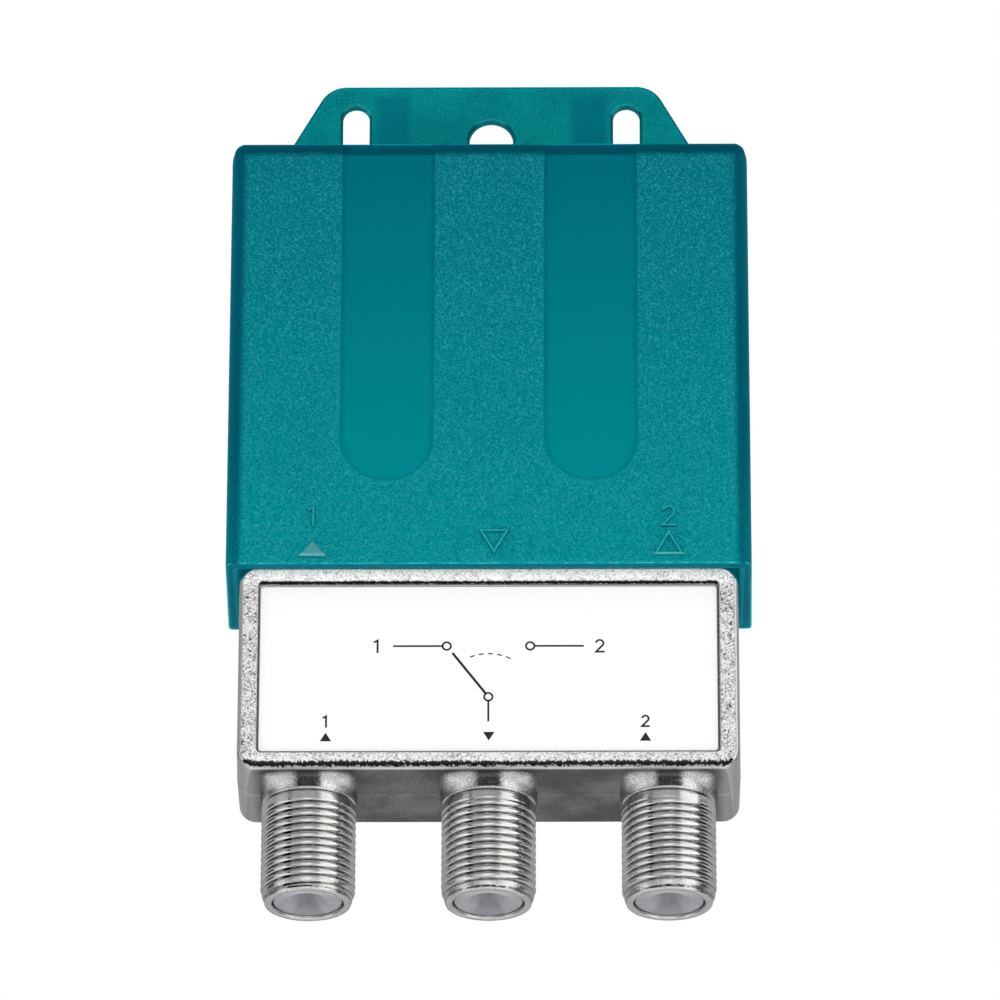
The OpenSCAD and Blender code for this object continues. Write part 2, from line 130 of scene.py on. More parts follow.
def finish_normals(ob, angle=35.0, weighted=True):
    me = ob.data
    me.polygons.foreach_set("use_smooth", [True] * len(me.polygons))
    me.set_sharp_from_angle(angle=math.radians(angle))
    if weighted:
        mod = ob.modifiers.new("normals", "WEIGHTED_NORMAL")
        mod.keep_sharp = True
        mod.weight = 100
        bpy.context.view_layer.update()
        apply_modifiers(ob)
    return ob


def arc(cx, cy, r, a0, a1, n):
    return [(cx + r * math.cos(math.radians(a0 + (a1 - a0) * i / n)),
             cy + r * math.sin(math.radians(a0 + (a1 - a0) * i / n))) for i in range(n + 1)]


def slot_points(x, w, z0, z1, grow=0.0, n=24):
    """Upright slot outline with round ends, anticlockwise."""
    r = w / 2
    return (arc(x, z1 - r, r + grow, 0, 180, n) + arc(x, z0 + r, r + grow, 180, 360, n))


def rect_points(x0, x1, z0, z1, r, n=6):
    return (arc(x1 - r, z0 + r, r, -90, 0, n) + arc(x1 - r, z1 - r, r, 0, 90, n)
            + arc(x0 + r, z1 - r, r, 90, 180, n) + arc(x0 + r, z0 + r, r, 180, 270, n))


def stroke(path, width):
    """Outline of a line of even width through the path, with mitred corners."""
    p = [np.array(q, float) for q in path]
    h = width / 2
    left, right_ = [], []
    for i, q in enumerate(p):
        a = p[i] - p[i - 1] if i else p[1] - p[0]
        b = p[i + 1] - p[i] if i < len(p) - 1 else p[-1] - p[-2]
        a, b = a / np.linalg.norm(a), b / np.linalg.norm(b)
        na, nb = np.array((-a[1], a[0])), np.array((-b[1], b[0]))
        mitre = na + nb
        mitre = mitre / (mitre @ mitre) * 2
        left.append(tuple(q + mitre * h))
        right_.append(tuple(q - mitre * h))
    return right_ + left[::-1]


def digit(which, x, z, height, width):
    """Plain numerals drawn as strokes, x being the middle and z the foot."""
    s = height / 2.4
    h = width / 2
    if which == 1:
        path = [(-0.56 * s, 1.86 * s), (0.06 * s, 2.4 * s - h * 1.2), (0.06 * s, 0)]
        return [(x + a, z + b) for a, b in stroke(path, width)]
    r = 0.75 * s - h
    path = arc(0, 1.65 * s, r, 172, -28, 18)
    path = path + [(-0.60 * s, h), (0.78 * s, h)]
    return [(x + a, z + b) for a, b in stroke(path, width)]


def triangle(x, z, w, h):
    pts = [(x - w / 2, z), (x + w / 2, z), (x, z + h)]
    return pts if h > 0 else pts[::-1]


def shrink(points, d):
    """The outline moved inward by d, for a convex or a mildly concave outline that runs anticlockwise."""
    p = [np.array(q, float) for q in points]
    n = len(p)
    out = []
    for i in range(n):
        a, b = p[i] - p[i - 1], p[(i + 1) % n] - p[i]
        a, b = a / max(np.linalg.norm(a), 1e-9), b / max(np.linalg.norm(b), 1e-9)
        na, nb = np.array((-a[1], a[0])), np.array((-b[1], b[0]))
        mitre = na + nb
        mm = mitre @ mitre
        mitre = mitre / mm * 2 if mm > 0.15 else na
        out.append(tuple(p[i] + mitre * d))
    return out


def revolve(name, profile, x, y, n=96):
    """Closed lathe solid round a vertical axis, from (r, z) pairs that start and end on the axis or on a ring."""
    verts, rings = [], []
    for r, z in profile:
        if r < 1e-6:
            rings.append([len(verts)])
            verts.append((x, y, z))
        else:
            rings.append(list(range(len(verts), len(verts) + n)))
            verts += [(x + r * math.cos(2 * math.pi * i / n), y + r * math.sin(2 * math.pi * i / n), z) for i in range(n)]
    faces = []
    for a, b in zip(rings, rings[1:]):
        for i in range(n):
            j = (i + 1) % n
            if len(a) == 1 and len(b) == 1:
                continue
            if len(a) == 1:
                faces.append([a[0], b[j], b[i]])
            elif len(b) == 1:
                faces.append([a[i], a[j], b[0]])
            else:
                faces.append([a[i], a[j], b[j], b[i]])
    return outward(mesh_object(name, verts, faces))


# ------------------------------------------------------------------ node help
class Nodes:
    def __init__(self, tree):
        self.tree = tree
        for nd in list(tree.nodes):
            tree.nodes.remove(nd)

    def new(self, kind, **props):
        nd = self.tree.nodes.new(kind)
        for k, v in props.items():
            setattr(nd, k, v)
        return nd

    def put(self, socket, value):
        if isinstance(value, bpy.types.NodeSocket):
            self.tree.links.new(value, socket)
        elif value is not None:
            socket.default_value = value

    def math(self, op, a, b=None, c=None, clamp=False):
        nd = self.new("ShaderNodeMath", operation=op, use_clamp=clamp)
        for i, v in enumerate((a, b, c)):
            self.put(nd.inputs[i], v)
        return nd.outputs[0]

    def smooth(self, v, lo, hi, a=0.0, b=1.0, kind="SMOOTHSTEP"):
        nd = self.new("ShaderNodeMapRange", interpolation_type=kind)
        for i, x in enumerate((v, lo, hi, a, b)):
            self.put(nd.inputs[i], x)
        return nd.outputs[0]

    def mix(self, f, a, b, blend="MIX"):
        nd = self.new("ShaderNodeMix", data_type="RGBA", blend_type=blend)
        self.put(nd.inputs[0], f)
        for s, v in ((nd.inputs[6], a), (nd.inputs[7], b)):
            self.put(s, (*v, 1.0) if isinstance(v, tuple) and len(v) == 3 else v)
        return nd.outputs[2]

    def vec(self, op, a, b=None, scale=None):
        nd = self.new("ShaderNodeVectorMath", operation=op)
        self.put(nd.inputs[0], a)
        if b is not None:
            self.put(nd.inputs[1], b)
        if scale is not None:
            nd.inputs["Scale"].default_value = scale
        return nd.outputs["Value"] if op in ("LENGTH", "DOT_PRODUCT", "DISTANCE") else nd.outputs[0]

    def noise(self, vec, scale, detail=2.0, rough=0.5, distortion=0.0, colour=False):
        nd = self.new("ShaderNodeTexNoise")
        self.put(nd.inputs["Vector"], vec)
        nd.inputs["Scale"].default_value = scale
        nd.inputs["Detail"].default_value = detail
        nd.inputs["Roughness"].default_value = rough
        nd.inputs["Distortion"].default_value = distortion
        return nd.outputs[1 if colour else 0]

    def voronoi(self, vec, scale, feature="F1", smoothness=0.5):
        nd = self.new("ShaderNodeTexVoronoi", feature=feature)
        self.put(nd.inputs["Vector"], vec)
        nd.inputs["Scale"].default_value = scale
        if feature == "SMOOTH_F1":
            nd.inputs["Smoothness"].default_value = smoothness
        return nd.outputs["Distance"]

    def bump(self, height, strength, distance, normal=None):
        nd = self.new("ShaderNodeBump")
        self.put(nd.inputs["Height"], height)
        self.put(nd.inputs["Strength"], strength)
        nd.inputs["Distance"].default_value = distance
        if normal is not None:
            self.put(nd.inputs["Normal"], normal)
        return nd.outputs[0]

    def attribute(self, name):
        nd = self.new("ShaderNodeAttribute")
        nd.attribute_name = name
        return nd.outputs["Fac"]

    def mm(self):
        """Object coordinates in millimetres, and their three parts."""
        co = self.new("ShaderNodeTexCoord").outputs["Object"]
        v = self.vec("SCALE", co, scale=1000.0)
        s = self.new("ShaderNodeSeparateXYZ")
        self.put(s.inputs[0], v)
        return v, s.outputs[0], s.outputs[1], s.outputs[2]


def material(name):
    mat = bpy.data.materials.new(name)
    mat.use_nodes = True
    mat.cycles.emission_sampling = "NONE"
    t = Nodes(mat.node_tree)
    bsdf = t.new("ShaderNodeBsdfPrincipled")
    out = t.new("ShaderNodeOutputMaterial")
    t.tree.links.new(bsdf.outputs[0], out.inputs["Surface"])
    return mat, t, bsdf, out


def dress(ob, mat):
    ob.data.materials.clear()
    ob.data.materials.append(mat)
    for p in ob.data.polygons:
        p.material_index = 0


# ------------------------------------------------------------------ materials
# plastic of the cover, seen against the light in different depths: these colours hold painted light and shade, painted
# glints and a painted edge highlight
C_FIELD_TOP = (0.0, 0.176, 0.222)
C_FIELD_LOW = (0.0, 0.280, 0.303)
C_TRACK_TOP = (0.0, 0.153, 0.200)
C_TRACK_LOW = (0.0, 0.268, 0.296)
C_DEEP = (0.0, 0.077, 0.116)
C_SIDE = (0.0, 0.096, 0.138)
C_UNDER = (0.0, 0.128, 0.170)
C_PAINTED_GLINT = (0.040, 0.420, 0.450)
C_EDGE_HIGHLIGHT = (0.080, 0.480, 0.520)
C_MARK_SHEEN = (0.150, 0.330, 0.370)
C_FLANGE = (0.0, 0.220, 0.240)
C_FLANGE_LIGHT = (0.0, 0.276, 0.278)
C_EDGE_SHADE = (0.0, 0.070, 0.085)


def cover_material():
    mat, t, b, out = material("teal_cover_plastic")
    v, x, y, z = t.mm()
    ax = t.math("ABSOLUTE", x)
    add = lambda a, c: t.math("ADD", a, c)
    less = lambda a, c: t.math("SUBTRACT", a, c)
    times = lambda a, c: t.math("MULTIPLY", a, c)

    def capsule(cx, z_low, z_high, r):
        """Distance outside an upright slot with round ends, on both sides of the middle."""
        dx = less(ax, cx)
        dz = add(t.math("MAXIMUM", less(z_low, z), 0.0), t.math("MAXIMUM", less(z, z_high), 0.0))
        return less(t.math("SQRT", add(times(dx, dx), times(dz, dz))), r)
    wob = times(less(t.noise(v, 1.6, 2.0, 0.5), 0.5), 0.5)
    d = capsule(TRACK_X, TRACK_Z, 100.0, TRACK_W / 2)
    off_track = t.smooth(d, -0.05, 0.10)
    on_front = t.smooth(y, -15.95, -15.4, 1.0, 0.0)
    plain = times(on_front, off_track)
    sleeve = t.math("MAXIMUM", t.smooth(z, Z_TOP + 0.12, Z_TOP + 0.02), t.smooth(y, -1.3, -1.6))
    # grain of the mould: short crossing ridges about half a millimetre apart
    warp = t.noise(v, 1.3, 2.0, 0.5, colour=True)
    w = t.vec("ADD", v, t.vec("SCALE", warp, scale=0.5))
    n1 = t.noise(w, 4.2, 1.0, 0.5, 0.3)
    n2 = t.noise(t.vec("ADD", v, (11.0, 5.0, 2.0)), 5.4, 2.0, 0.5, 0.3)
    n3 = t.noise(v, 0.22, 3.0, 0.55)
    ridge = t.smooth(t.math("ABSOLUTE", less(n1, 0.5)), 0.0, 0.085, 1.0, 0.0)
    glint_mask = times(t.smooth(n2, 0.38, 0.58), ridge)
    grain = add(times(ridge, 0.55), times(n2, 0.6))
    soft = t.noise(v, 0.7, 2.0, 0.5)
    amount = add(times(plain, 0.60), add(0.04, times(t.smooth(z, -9.0, -7.0), 0.12)))
    bump = t.bump(grain, amount, 0.00012)
    bump = t.bump(soft, 0.25, 0.00006, bump)
    t.put(b.inputs["Normal"], bump)

    # colour: deeper above, lighter below, where the light passes through from underneath
    low = t.smooth(z, -52.0, -9.5, 1.0, 0.0, "LINEAR")
    field = t.mix(low, C_FIELD_TOP, C_FIELD_LOW)
    # painted highlights: pale glints on the grain's ridges, painted into the base colour
    field = t.mix(times(times(glint_mask, plain), add(0.50, times(n3, 0.45))), field, C_PAINTED_GLINT)
    field = t.mix(times(times(t.smooth(n2, 0.50, 0.32), 0.50), plain), field, C_TRACK_TOP)
    track = t.mix(low, C_TRACK_TOP, C_TRACK_LOW)
    col = t.mix(off_track, track, field)
    # thin dark line where a track begins: painted shade at the step
    line = times(t.smooth(t.math("ABSOLUTE", less(d, 0.03)), 0.03, 0.16, 1.0, 0.0), on_front)
    col = t.mix(times(line, 0.30), col, C_DEEP)
    # the side and top walls stand behind the front wall; its borders are painted darker there, as painted shade
    edge_x = less(ax, add(25.22, times(wob, 0.25)))
    band_x = t.smooth(edge_x, -0.45, 0.40)
    edge_z = less(z, add(Z_TOP - 1.33, times(times(wob, off_track), 0.9)))
    blur = add(0.08, times(off_track, 0.30))
    band_z = t.smooth(edge_z, times(blur, -1.0), blur)
    deep = t.math("MAXIMUM", band_x, band_z)
    deep_col = t.mix(band_z, C_SIDE, C_DEEP)
    front_part = t.smooth(y, -10.0, -15.0)
    side_fade = t.smooth(z, -57.0, -40.0, 0.80, 1.0)
    col = t.mix(times(times(deep, side_fade), times(sleeve, add(0.45, times(front_part, 0.53)))), col, deep_col)
    # painted shade: a dark line along the sleeve's top edge, under the flange
    rim = t.smooth(z, Z_TOP - 0.42, Z_TOP - 0.05)
    col = t.mix(times(rim, sleeve), col, (0.0, 0.050, 0.080))
    # underside of the front wall in painted shade, and a painted broken highlight along the edge above it
    under = t.smooth(z, Z_BOT + 0.05, Z_BOT + 0.01)
    col = t.mix(under, col, C_UNDER)
    edge_highlight = times(t.smooth(t.math("ABSOLUTE", less(z, Z_BOT + 0.13)), 0.03, 0.10, 1.0, 0.0), on_front)
    broken = t.smooth(t.noise(v, 1.1, 3.0, 0.6), 0.47, 0.62)
    col = t.mix(times(times(edge_highlight, broken), 0.60), col, C_EDGE_HIGHLIGHT)
    # solid mark: its polished top is painted paler, as a painted sheen
    mark = times(times(t.smooth(y, -16.05, -16.15), t.smooth(t.math("ABSOLUTE", add(x, 17.8)), 1.6, 1.7, 1.0, 0.0)),
                 t.smooth(z, Z_BOT + 3.2, Z_BOT + 3.1))
    col = t.mix(times(mark, add(0.25, times(n1, 0.5))), col, C_MARK_SHEEN)
    # raised marks: painted highlight on their tops, painted shade on their sloping sides
    raised = times(t.smooth(y, -16.02, -16.06), on_front)
    slopes = times(raised, t.smooth(y, -16.20, -16.17))
    col = t.mix(times(less(less(raised, slopes), mark), 0.30), col, C_PAINTED_GLINT)
    col = t.mix(times(slopes, 0.80), col, (0.0, 0.110, 0.135))
    # painted highlight: a pale line along the base of the arrow heads at either end
    base_highlight = times(t.smooth(y, -16.05, -16.12), times(t.smooth(t.math("ABSOLUTE", less(ax, 18.0)), 1.75, 1.85, 1.0, 0.0),
                 t.smooth(z, Z_BOT + 1.20, Z_BOT + 1.10)))
    col = t.mix(times(base_highlight, 0.60), col, (0.16, 0.52, 0.56))

    # flange: lighter and greener, with painted shade at every edge and before the ribs
    fl = t.mix(t.smooth(n3, 0.35, 0.65), C_FLANGE, C_FLANGE_LIGHT)
    # painted glints on the flange's grain, and darker patches of tone
    fl = t.mix(times(t.smooth(n2, 0.5, 0.64), 0.24), fl, C_PAINTED_GLINT)
    fl = t.mix(times(t.smooth(n2, 0.5, 0.36), 0.20), fl, C_TRACK_TOP)
    # painted shade where the ribs stand behind the flange
    rib = less(t.math("ABSOLUTE", less(ax, 10.35)), 1.75)
    rib = times(t.smooth(rib, 0.75, -0.55), t.smooth(z, 6.0, 4.6))
    fl = t.mix(times(rib, 0.66), fl, (0.0, 0.164, 0.226))
    nearest = t.math("MINIMUM", capsule(14.25, 4.08 - 8.25, 4.08 - 1.4, 1.4),
                     less(t.math("SQRT", add(times(x, x), times(z, z))), 2.3))
    sx, sz = (F_TOP - Z_TOP), (F_LOW_X - F_TOP_X)
    k = math.hypot(sx, sz)
    slope = less((sx * F_LOW_X + sz * Z_TOP) / k, add(times(ax, sx / k), times(z, sz / k)))
    outer = t.math("MINIMUM", slope, less(F_TOP, z))
    bend = 3.0 * math.tan(math.radians(90.0) - math.radians(180.0 - math.degrees(math.atan2(sx, sz))) / 2.0)
    cx, cz = less(ax, F_TOP_X - bend), less(z, F_TOP - 3.0)
    wedge = times(t.smooth(cx, -0.02, 0.02), t.smooth(less(times(cz, sx / k), times(cx, sz / k)), -0.02, 0.02))
    outer = t.mix(wedge, outer, less(3.0, t.math("SQRT", add(times(cx, cx), times(cz, cz)))))
    # the openings' walls are painted as if lit like the face: a painted highlight at the front rim, painted shade at
    # the far one and beside the openings
    crown = t.smooth(less(z, times(ax, 0.1123)), 1.3, 2.0)
    halo = times(t.smooth(t.math("ABSOLUTE", less(nearest, 0.16)), 0.02, 0.16, 1.0, 0.0), crown)
    wall_far = times(t.smooth(nearest, 0.16, 0.04), t.smooth(y, -0.80, -0.45))
    beside = times(t.smooth(nearest, 0.36, 0.16), less(1.0, times(crown, 0.8)))
    fl = t.mix(times(halo, 0.45), fl, C_PAINTED_GLINT)
    fl = t.mix(times(t.math("MAXIMUM", wall_far, beside), 0.9), fl, C_EDGE_SHADE)
    fl = t.mix(t.smooth(outer, 0.16, 0.34, 0.92, 0.0), fl, C_EDGE_SHADE)
    col = t.mix(sleeve, fl, col)

    t.put(b.inputs["Base Color"], col)
    t.put(b.inputs["Roughness"], t.smooth(times(plain, n1), 0.0, 0.8, 0.30, 0.48, "LINEAR"))
    b.inputs["IOR"].default_value = 1.49
    b.inputs["Specular IOR Level"].default_value = 0.02
    b.inputs["Subsurface Weight"].default_value = 1.0
    b.inputs["Subsurface Radius"].default_value = (0.3, 1.0, 1.1)
    b.inputs["Subsurface Scale"].default_value = 0.0018
    # painted light: the hollow's inner faces glow a little, for the light that reaches the hollow through the walls
    hollow = times(times(t.smooth(ax, 25.95, 25.85), times(t.smooth(y, -14.98, -14.94), t.smooth(y, -1.02, -1.06))), sleeve)
    t.put(b.inputs["Emission Color"], t.mix(t.smooth(z, -56.0, -30.0), (0.0, 0.118, 0.152), (0.0, 0.050, 0.075)))
    t.put(b.inputs["Emission Strength"], times(hollow, 0.50))
    return mat


def nickel_material():
    """Die-cast box: a bright grainy frame, smooth rounded rims and a satin body."""
    mat, t, b, out = material("nickel_plated_zinc")
    v, x, y, z = t.mm()
    valley, face = t.attribute("valley"), t.attribute("face")
    n1 = t.noise(v, 3.2, 4.0, 0.6)
    n2 = t.noise(v, 0.16, 3.0, 0.55)
    fine = t.noise(v, 8.0, 3.0, 0.65)
    # painted shade: the bottom face gets darker copies of the plating's colour, lighter where it turns into the sides
    under = t.smooth(z, -77.93, -78.01)
    body = t.mix(n2, (0.66, 0.66, 0.65), (0.80, 0.80, 0.79))
    shade = t.math("ADD", n2, t.math("MULTIPLY", t.math("SUBTRACT", fine, 0.5), 0.9))
    low = t.mix(t.smooth(shade, 0.36, 0.64), (0.105, 0.103, 0.103), (0.26, 0.257, 0.255))
    low = t.mix(t.smooth(t.math("ABSOLUTE", x), 22.6, 24.2), low, (0.50, 0.50, 0.50))
    body = t.mix(under, body, low)
    bright = t.mix(t.smooth(fine, 0.35, 0.65), (0.95, 0.955, 0.94), (1.0, 1.0, 0.99))
    top = t.smooth(z, -57.95, -57.75)
    flank = t.math("MULTIPLY", t.smooth(t.math("ABSOLUTE", x), 22.9, 23.6), t.math("SUBTRACT", 1.0, top))
    bright = t.mix(flank, bright, (0.93, 0.94, 0.92))
    col = t.mix(face, body, bright)
    # painted shade and painted dark reflections from the valley attribute: the grain's valleys, the seam round the
    # label and hard lines along two edges
    keep = t.math("MAXIMUM", t.smooth(fine, 0.30, 0.60, 1.0, 0.70), t.smooth(valley, 0.95, 1.05))
    col = t.mix(t.math("MULTIPLY", valley, keep, clamp=True), col, (0.014, 0.014, 0.014))
    t.put(b.inputs["Base Color"], col)
    # painted light: the frame's top band glows a little, making up for the cover's shade above it
    glow = t.math("MULTIPLY", t.math("MULTIPLY", face, top), t.math("SUBTRACT", 1.0, valley, clamp=True))
    b.inputs["Emission Color"].default_value = (1.0, 0.96, 0.92, 1.0)
    t.put(b.inputs["Emission Strength"], t.math("MULTIPLY", glow, 0.13))
    rough = t.math("ADD", t.smooth(n1, 0.3, 0.7, 0.20, 0.30, "LINEAR"), t.math("MULTIPLY", face, 0.18))
    t.put(b.inputs["Roughness"], t.math("ADD", rough, t.math("MULTIPLY", under, 0.08)))
    t.put(b.inputs["Metallic"], t.math("SUBTRACT", 1.0, t.math("MULTIPLY", face, t.math("ADD", 0.75, t.math("MULTIPLY", top, 0.22)))))
    t.put(b.inputs["Normal"], t.bump(t.math("ADD", t.math("MULTIPLY", n1, 0.6), t.math("MULTIPLY", fine, 0.6)), 0.40, 0.00005))
    return mat


def thread_material():
    """The same plating on the port barrels: rough as cast on the neck, turned bright on the thread."""
    mat, t, b, out = material("nickel_plated_thread")
    v, x, y, z = t.mm()
    neck = t.smooth(z, -79.42, -79.28)
    groove = t.attribute("groove")
    side = t.math("WRAP", x, 9.05, -9.05)
    front = t.smooth(y, PORT_Y - 1.0, PORT_Y - 2.5)
    n1 = t.noise(v, 2.6, 4.0, 0.6)
    n2 = t.noise(v, 0.5, 2.0, 0.5)
    fine = t.noise(v, 6.5, 3.0, 0.65)
    dx = t.math("ADD", t.math("ABSOLUTE", side), t.math("MULTIPLY", t.math("SUBTRACT", n1, 0.5), 1.1))
    speck = t.smooth(t.noise(v, 4.6, 3.0, 0.7), 0.56, 0.68)
    turned = t.noise(t.vec("MULTIPLY", v, (0.6, 0.6, 9.0)), 1.0, 3.0, 0.6)
    end = t.smooth(z, -88.6, -89.2)
    shade = t.math("ADD", t.math("MULTIPLY", n2, 0.5), t.math("MULTIPLY", fine, 0.5))
    col = t.mix(t.smooth(shade, 0.35, 0.65), (0.70, 0.70, 0.69), (0.86, 0.86, 0.84))
    # the neck keeps its cast skin, painted darker in the middle of the front; painted shade darkens its sides and the
    # part where it meets the box
    cast = t.mix(t.smooth(t.noise(v, 7.5, 2.0, 0.6), 0.40, 0.58), (0.64, 0.63, 0.62), (1.0, 1.0, 0.99))
    col = t.mix(t.math("MULTIPLY", neck, 0.85), col, cast)
    low_neck = t.smooth(z, -78.20, -78.42)
    front_patch = t.math("MULTIPLY", t.math("MULTIPLY", front, t.smooth(dx, 0.85, 1.75, 1.0, 0.0)), t.smooth(z, -79.24, -79.06))
    front_patch_col = t.mix(t.smooth(fine, 0.35, 0.62), (0.020, 0.018, 0.018), (0.075, 0.070, 0.070))
    neck_grey_dark = t.mix(t.smooth(fine, 0.3, 0.7), (0.11, 0.107, 0.107), (0.20, 0.197, 0.193))
    col = t.mix(front_patch, col, t.mix(low_neck, neck_grey_dark, front_patch_col))
    col = t.mix(t.math("MULTIPLY", t.smooth(dx, 3.7, 4.8), t.smooth(z, -79.15, -78.8)), col, neck_grey_dark)
    col = t.mix(t.smooth(z, -78.08, -78.00), col, t.mix(t.smooth(shade, 0.36, 0.64), (0.105, 0.103, 0.103), (0.26, 0.257, 0.255)))
    # painted shade: a thin dark line in the groove under the neck's rim
    lip = t.math("MULTIPLY", t.smooth(z, -79.54, -79.47), t.smooth(z, -79.40, -79.33, 1.0, 0.0))
    col = t.mix(t.math("MULTIPLY", lip, 0.75), col, (0.05, 0.05, 0.05))
    spot = t.math("MAXIMUM", t.math("MULTIPLY", t.smooth(n1, 0.60, 0.72), 0.5), t.math("MULTIPLY", speck, 0.55))
    col = t.mix(t.math("MULTIPLY", spot, t.math("MAXIMUM", neck, end)), col, (0.25, 0.25, 0.25))
    # painted shade in the thread's roots, darker towards the end, with painted dark reflections as dots in the roots
    # left of the middle
    dark_reflection_dots = t.smooth(t.math("ABSOLUTE", t.math("ADD", side, 1.98)), 0.22, 0.46, 1.0, 0.0)
    dark_reflection_dots = t.math("MULTIPLY", dark_reflection_dots, t.smooth(x, -8.0, -9.0, 0.35, 1.0))
    tail = t.math("MULTIPLY", t.smooth(z, -89.1, -89.5), t.smooth(t.math("ABSOLUTE", side), 1.3, 2.3, 1.0, 0.0))
    deep = t.math("ADD", t.math("MULTIPLY", dark_reflection_dots, 0.38), t.math("MULTIPLY", tail, 0.42))
    col = t.mix(t.math("MULTIPLY", groove, t.math("ADD", 0.58, deep), clamp=True), col, (0.050, 0.048, 0.046))
    col = t.mix(t.math("MULTIPLY", t.math("MULTIPLY", dark_reflection_dots, 0.85), t.smooth(groove, 0.05, 0.45)), col, (0.012, 0.012, 0.012))
    t.put(b.inputs["Base Color"], col)
    rough = t.smooth(n1, 0.3, 0.7, 0.055, 0.10, "LINEAR")
    t.put(b.inputs["Roughness"], t.math("ADD", rough, t.math("MULTIPLY", neck, 0.10)))
    b.inputs["Metallic"].default_value = 1.0
    height = t.math("ADD", t.math("MULTIPLY", turned, 0.5), t.math("MULTIPLY", fine, 0.6))
    amount = t.math("ADD", t.math("MULTIPLY", neck, 0.75), t.math("ADD", t.math("MULTIPLY", end, 0.35), 0.22))
    t.put(b.inputs["Normal"], t.bump(height, amount, 0.00006))
    return mat


def label_material():
    mat, t, b, out = material("label_film")
    v, x, y, z = t.mm()
    n = t.noise(v, 0.35, 2.0, 0.5)
    t.put(b.inputs["Base Color"], t.mix(n, (0.93, 0.93, 0.93), (0.965, 0.965, 0.965)))
    t.put(b.inputs["Roughness"], t.smooth(t.noise(v, 5.0, 3.0, 0.6), 0.3, 0.7, 0.22, 0.30, "LINEAR"))
    t.put(b.inputs["Normal"], t.bump(n, 0.12, 0.00005))
    b.inputs["Specular IOR Level"].default_value = 0.35
    return mat


def ink_material():
    mat, t, b, out = material("label_ink")
    v, x, y, z = t.mm()
    n = t.noise(v, 9.0, 3.0, 0.6)
    t.put(b.inputs["Base Color"], t.mix(n, (0.010, 0.010, 0.011), (0.030, 0.030, 0.032)))
    t.put(b.inputs["Roughness"], t.smooth(n, 0.3, 0.7, 0.38, 0.5, "LINEAR"))
    b.inputs["Specular IOR Level"].default_value = 0.2
    return mat


def insulator_material():
    mat, t, b, out = material("milky_insulator")
    v, x, y, z = t.mm()
    n = t.noise(v, 0.8, 3.0, 0.55)
    base = t.mix(t.smooth(n, 0.35, 0.65), (0.265, 0.265, 0.288), (0.305, 0.305, 0.328))
    # painted light: the front part of the face is lighter
    base = t.mix(t.smooth(t.math("ADD", y, t.math("MULTIPLY", n, 1.0)), -8.2, -10.4), base, (0.40, 0.40, 0.42))
    off = t.math("SUBTRACT", y, PORT_Y)
    wide = t.math("ADD", 0.55, t.math("MULTIPLY", off, 0.42))
    side = t.math("ABSOLUTE", t.math("WRAP", x, 9.05, -9.05))
    # painted shade: a dark wedge in the centre funnel, widening towards the back
    wedge = t.math("MULTIPLY", t.smooth(off, 0.2, 1.4), t.smooth(t.math("SUBTRACT", side, wide), -0.35, 0.35, 1.0, 0.0))
    base = t.mix(t.math("MULTIPLY", wedge, 0.50), base, (0.150, 0.150, 0.165))
    t.put(b.inputs["Base Color"], base)
    t.put(b.inputs["Roughness"], t.smooth(t.noise(v, 6.0, 2.0, 0.5), 0.3, 0.7, 0.28, 0.40, "LINEAR"))
    t.put(b.inputs["Normal"], t.bump(n, 0.3, 0.0001))
    b.inputs["Subsurface Weight"].default_value = 1.0
    b.inputs["Subsurface Radius"].default_value = (1.0, 1.0, 1.1)
    b.inputs["Subsurface Scale"].default_value = 0.0012
    b.inputs["Specular IOR Level"].default_value = 0.4
    return mat


def metal_material(name, colour, rough, scale=2.0, stretch=(1, 1, 1), bump=0.3, depth=0.00003):
    mat, t, b, out = material(name)
    v, x, y, z = t.mm()
    w = t.vec("MULTIPLY", v, stretch)
    n = t.noise(w, scale, 4.0, 0.6)
    big = t.noise(v, 0.4, 2.0, 0.5)
    t.put(b.inputs["Base Color"], t.mix(big, tuple(c * 0.93 for c in colour), tuple(min(1.0, c * 1.05) for c in colour)))
    t.put(b.inputs["Roughness"], t.smooth(n, 0.3, 0.7, rough * 0.8, rough * 1.25, "LINEAR"))
    t.put(b.inputs["Normal"], t.bump(n, bump, depth))
    b.inputs["Metallic"].default_value = 1.0
    return mat


def dull_material(name, dark, light, rough, scale=2.0, bump=0.3, depth=0.00004):
    mat, t, b, out = material(name)
    v, x, y, z = t.mm()
    n = t.noise(v, scale, 4.0, 0.6)
    t.put(b.inputs["Base Color"], t.mix(n, dark, light))
    t.put(b.inputs["Roughness"], t.smooth(n, 0.3, 0.7, rough * 0.85, min(1.0, rough * 1.2), "LINEAR"))
    t.put(b.inputs["Normal"], t.bump(n, bump, depth))
    return mat


def board_material():
    mat, t, b, out = material("board_laminate")
    v, x, y, z = t.mm()
    brick = t.new("ShaderNodeTexBrick", offset=0.35, squash=1.6)
    swap = t.new("ShaderNodeCombineXYZ")
    t.put(swap.inputs[0], x)
    t.put(swap.inputs[1], z)
    t.put(brick.inputs["Vector"], swap.outputs[0])
    brick.inputs["Scale"].default_value = 0.55
    brick.inputs["Mortar Size"].default_value = 0.05
    brick.inputs["Mortar Smooth"].default_value = 0.2
    trace = brick.outputs["Fac"]
    n = t.noise(v, 3.0, 3.0, 0.6)
    base = t.mix(n, (0.012, 0.105, 0.032), (0.018, 0.150, 0.048))
    t.put(b.inputs["Base Color"], t.mix(t.math("MULTIPLY", trace, 0.75), base, (0.05, 0.28, 0.10)))
    t.put(b.inputs["Roughness"], t.smooth(n, 0.3, 0.7, 0.28, 0.40, "LINEAR"))
    t.put(b.inputs["Normal"], t.bump(trace, 0.5, 0.00004))
    return mat


TEAL = cover_material()
NICKEL = nickel_material()
THREADS = thread_material()

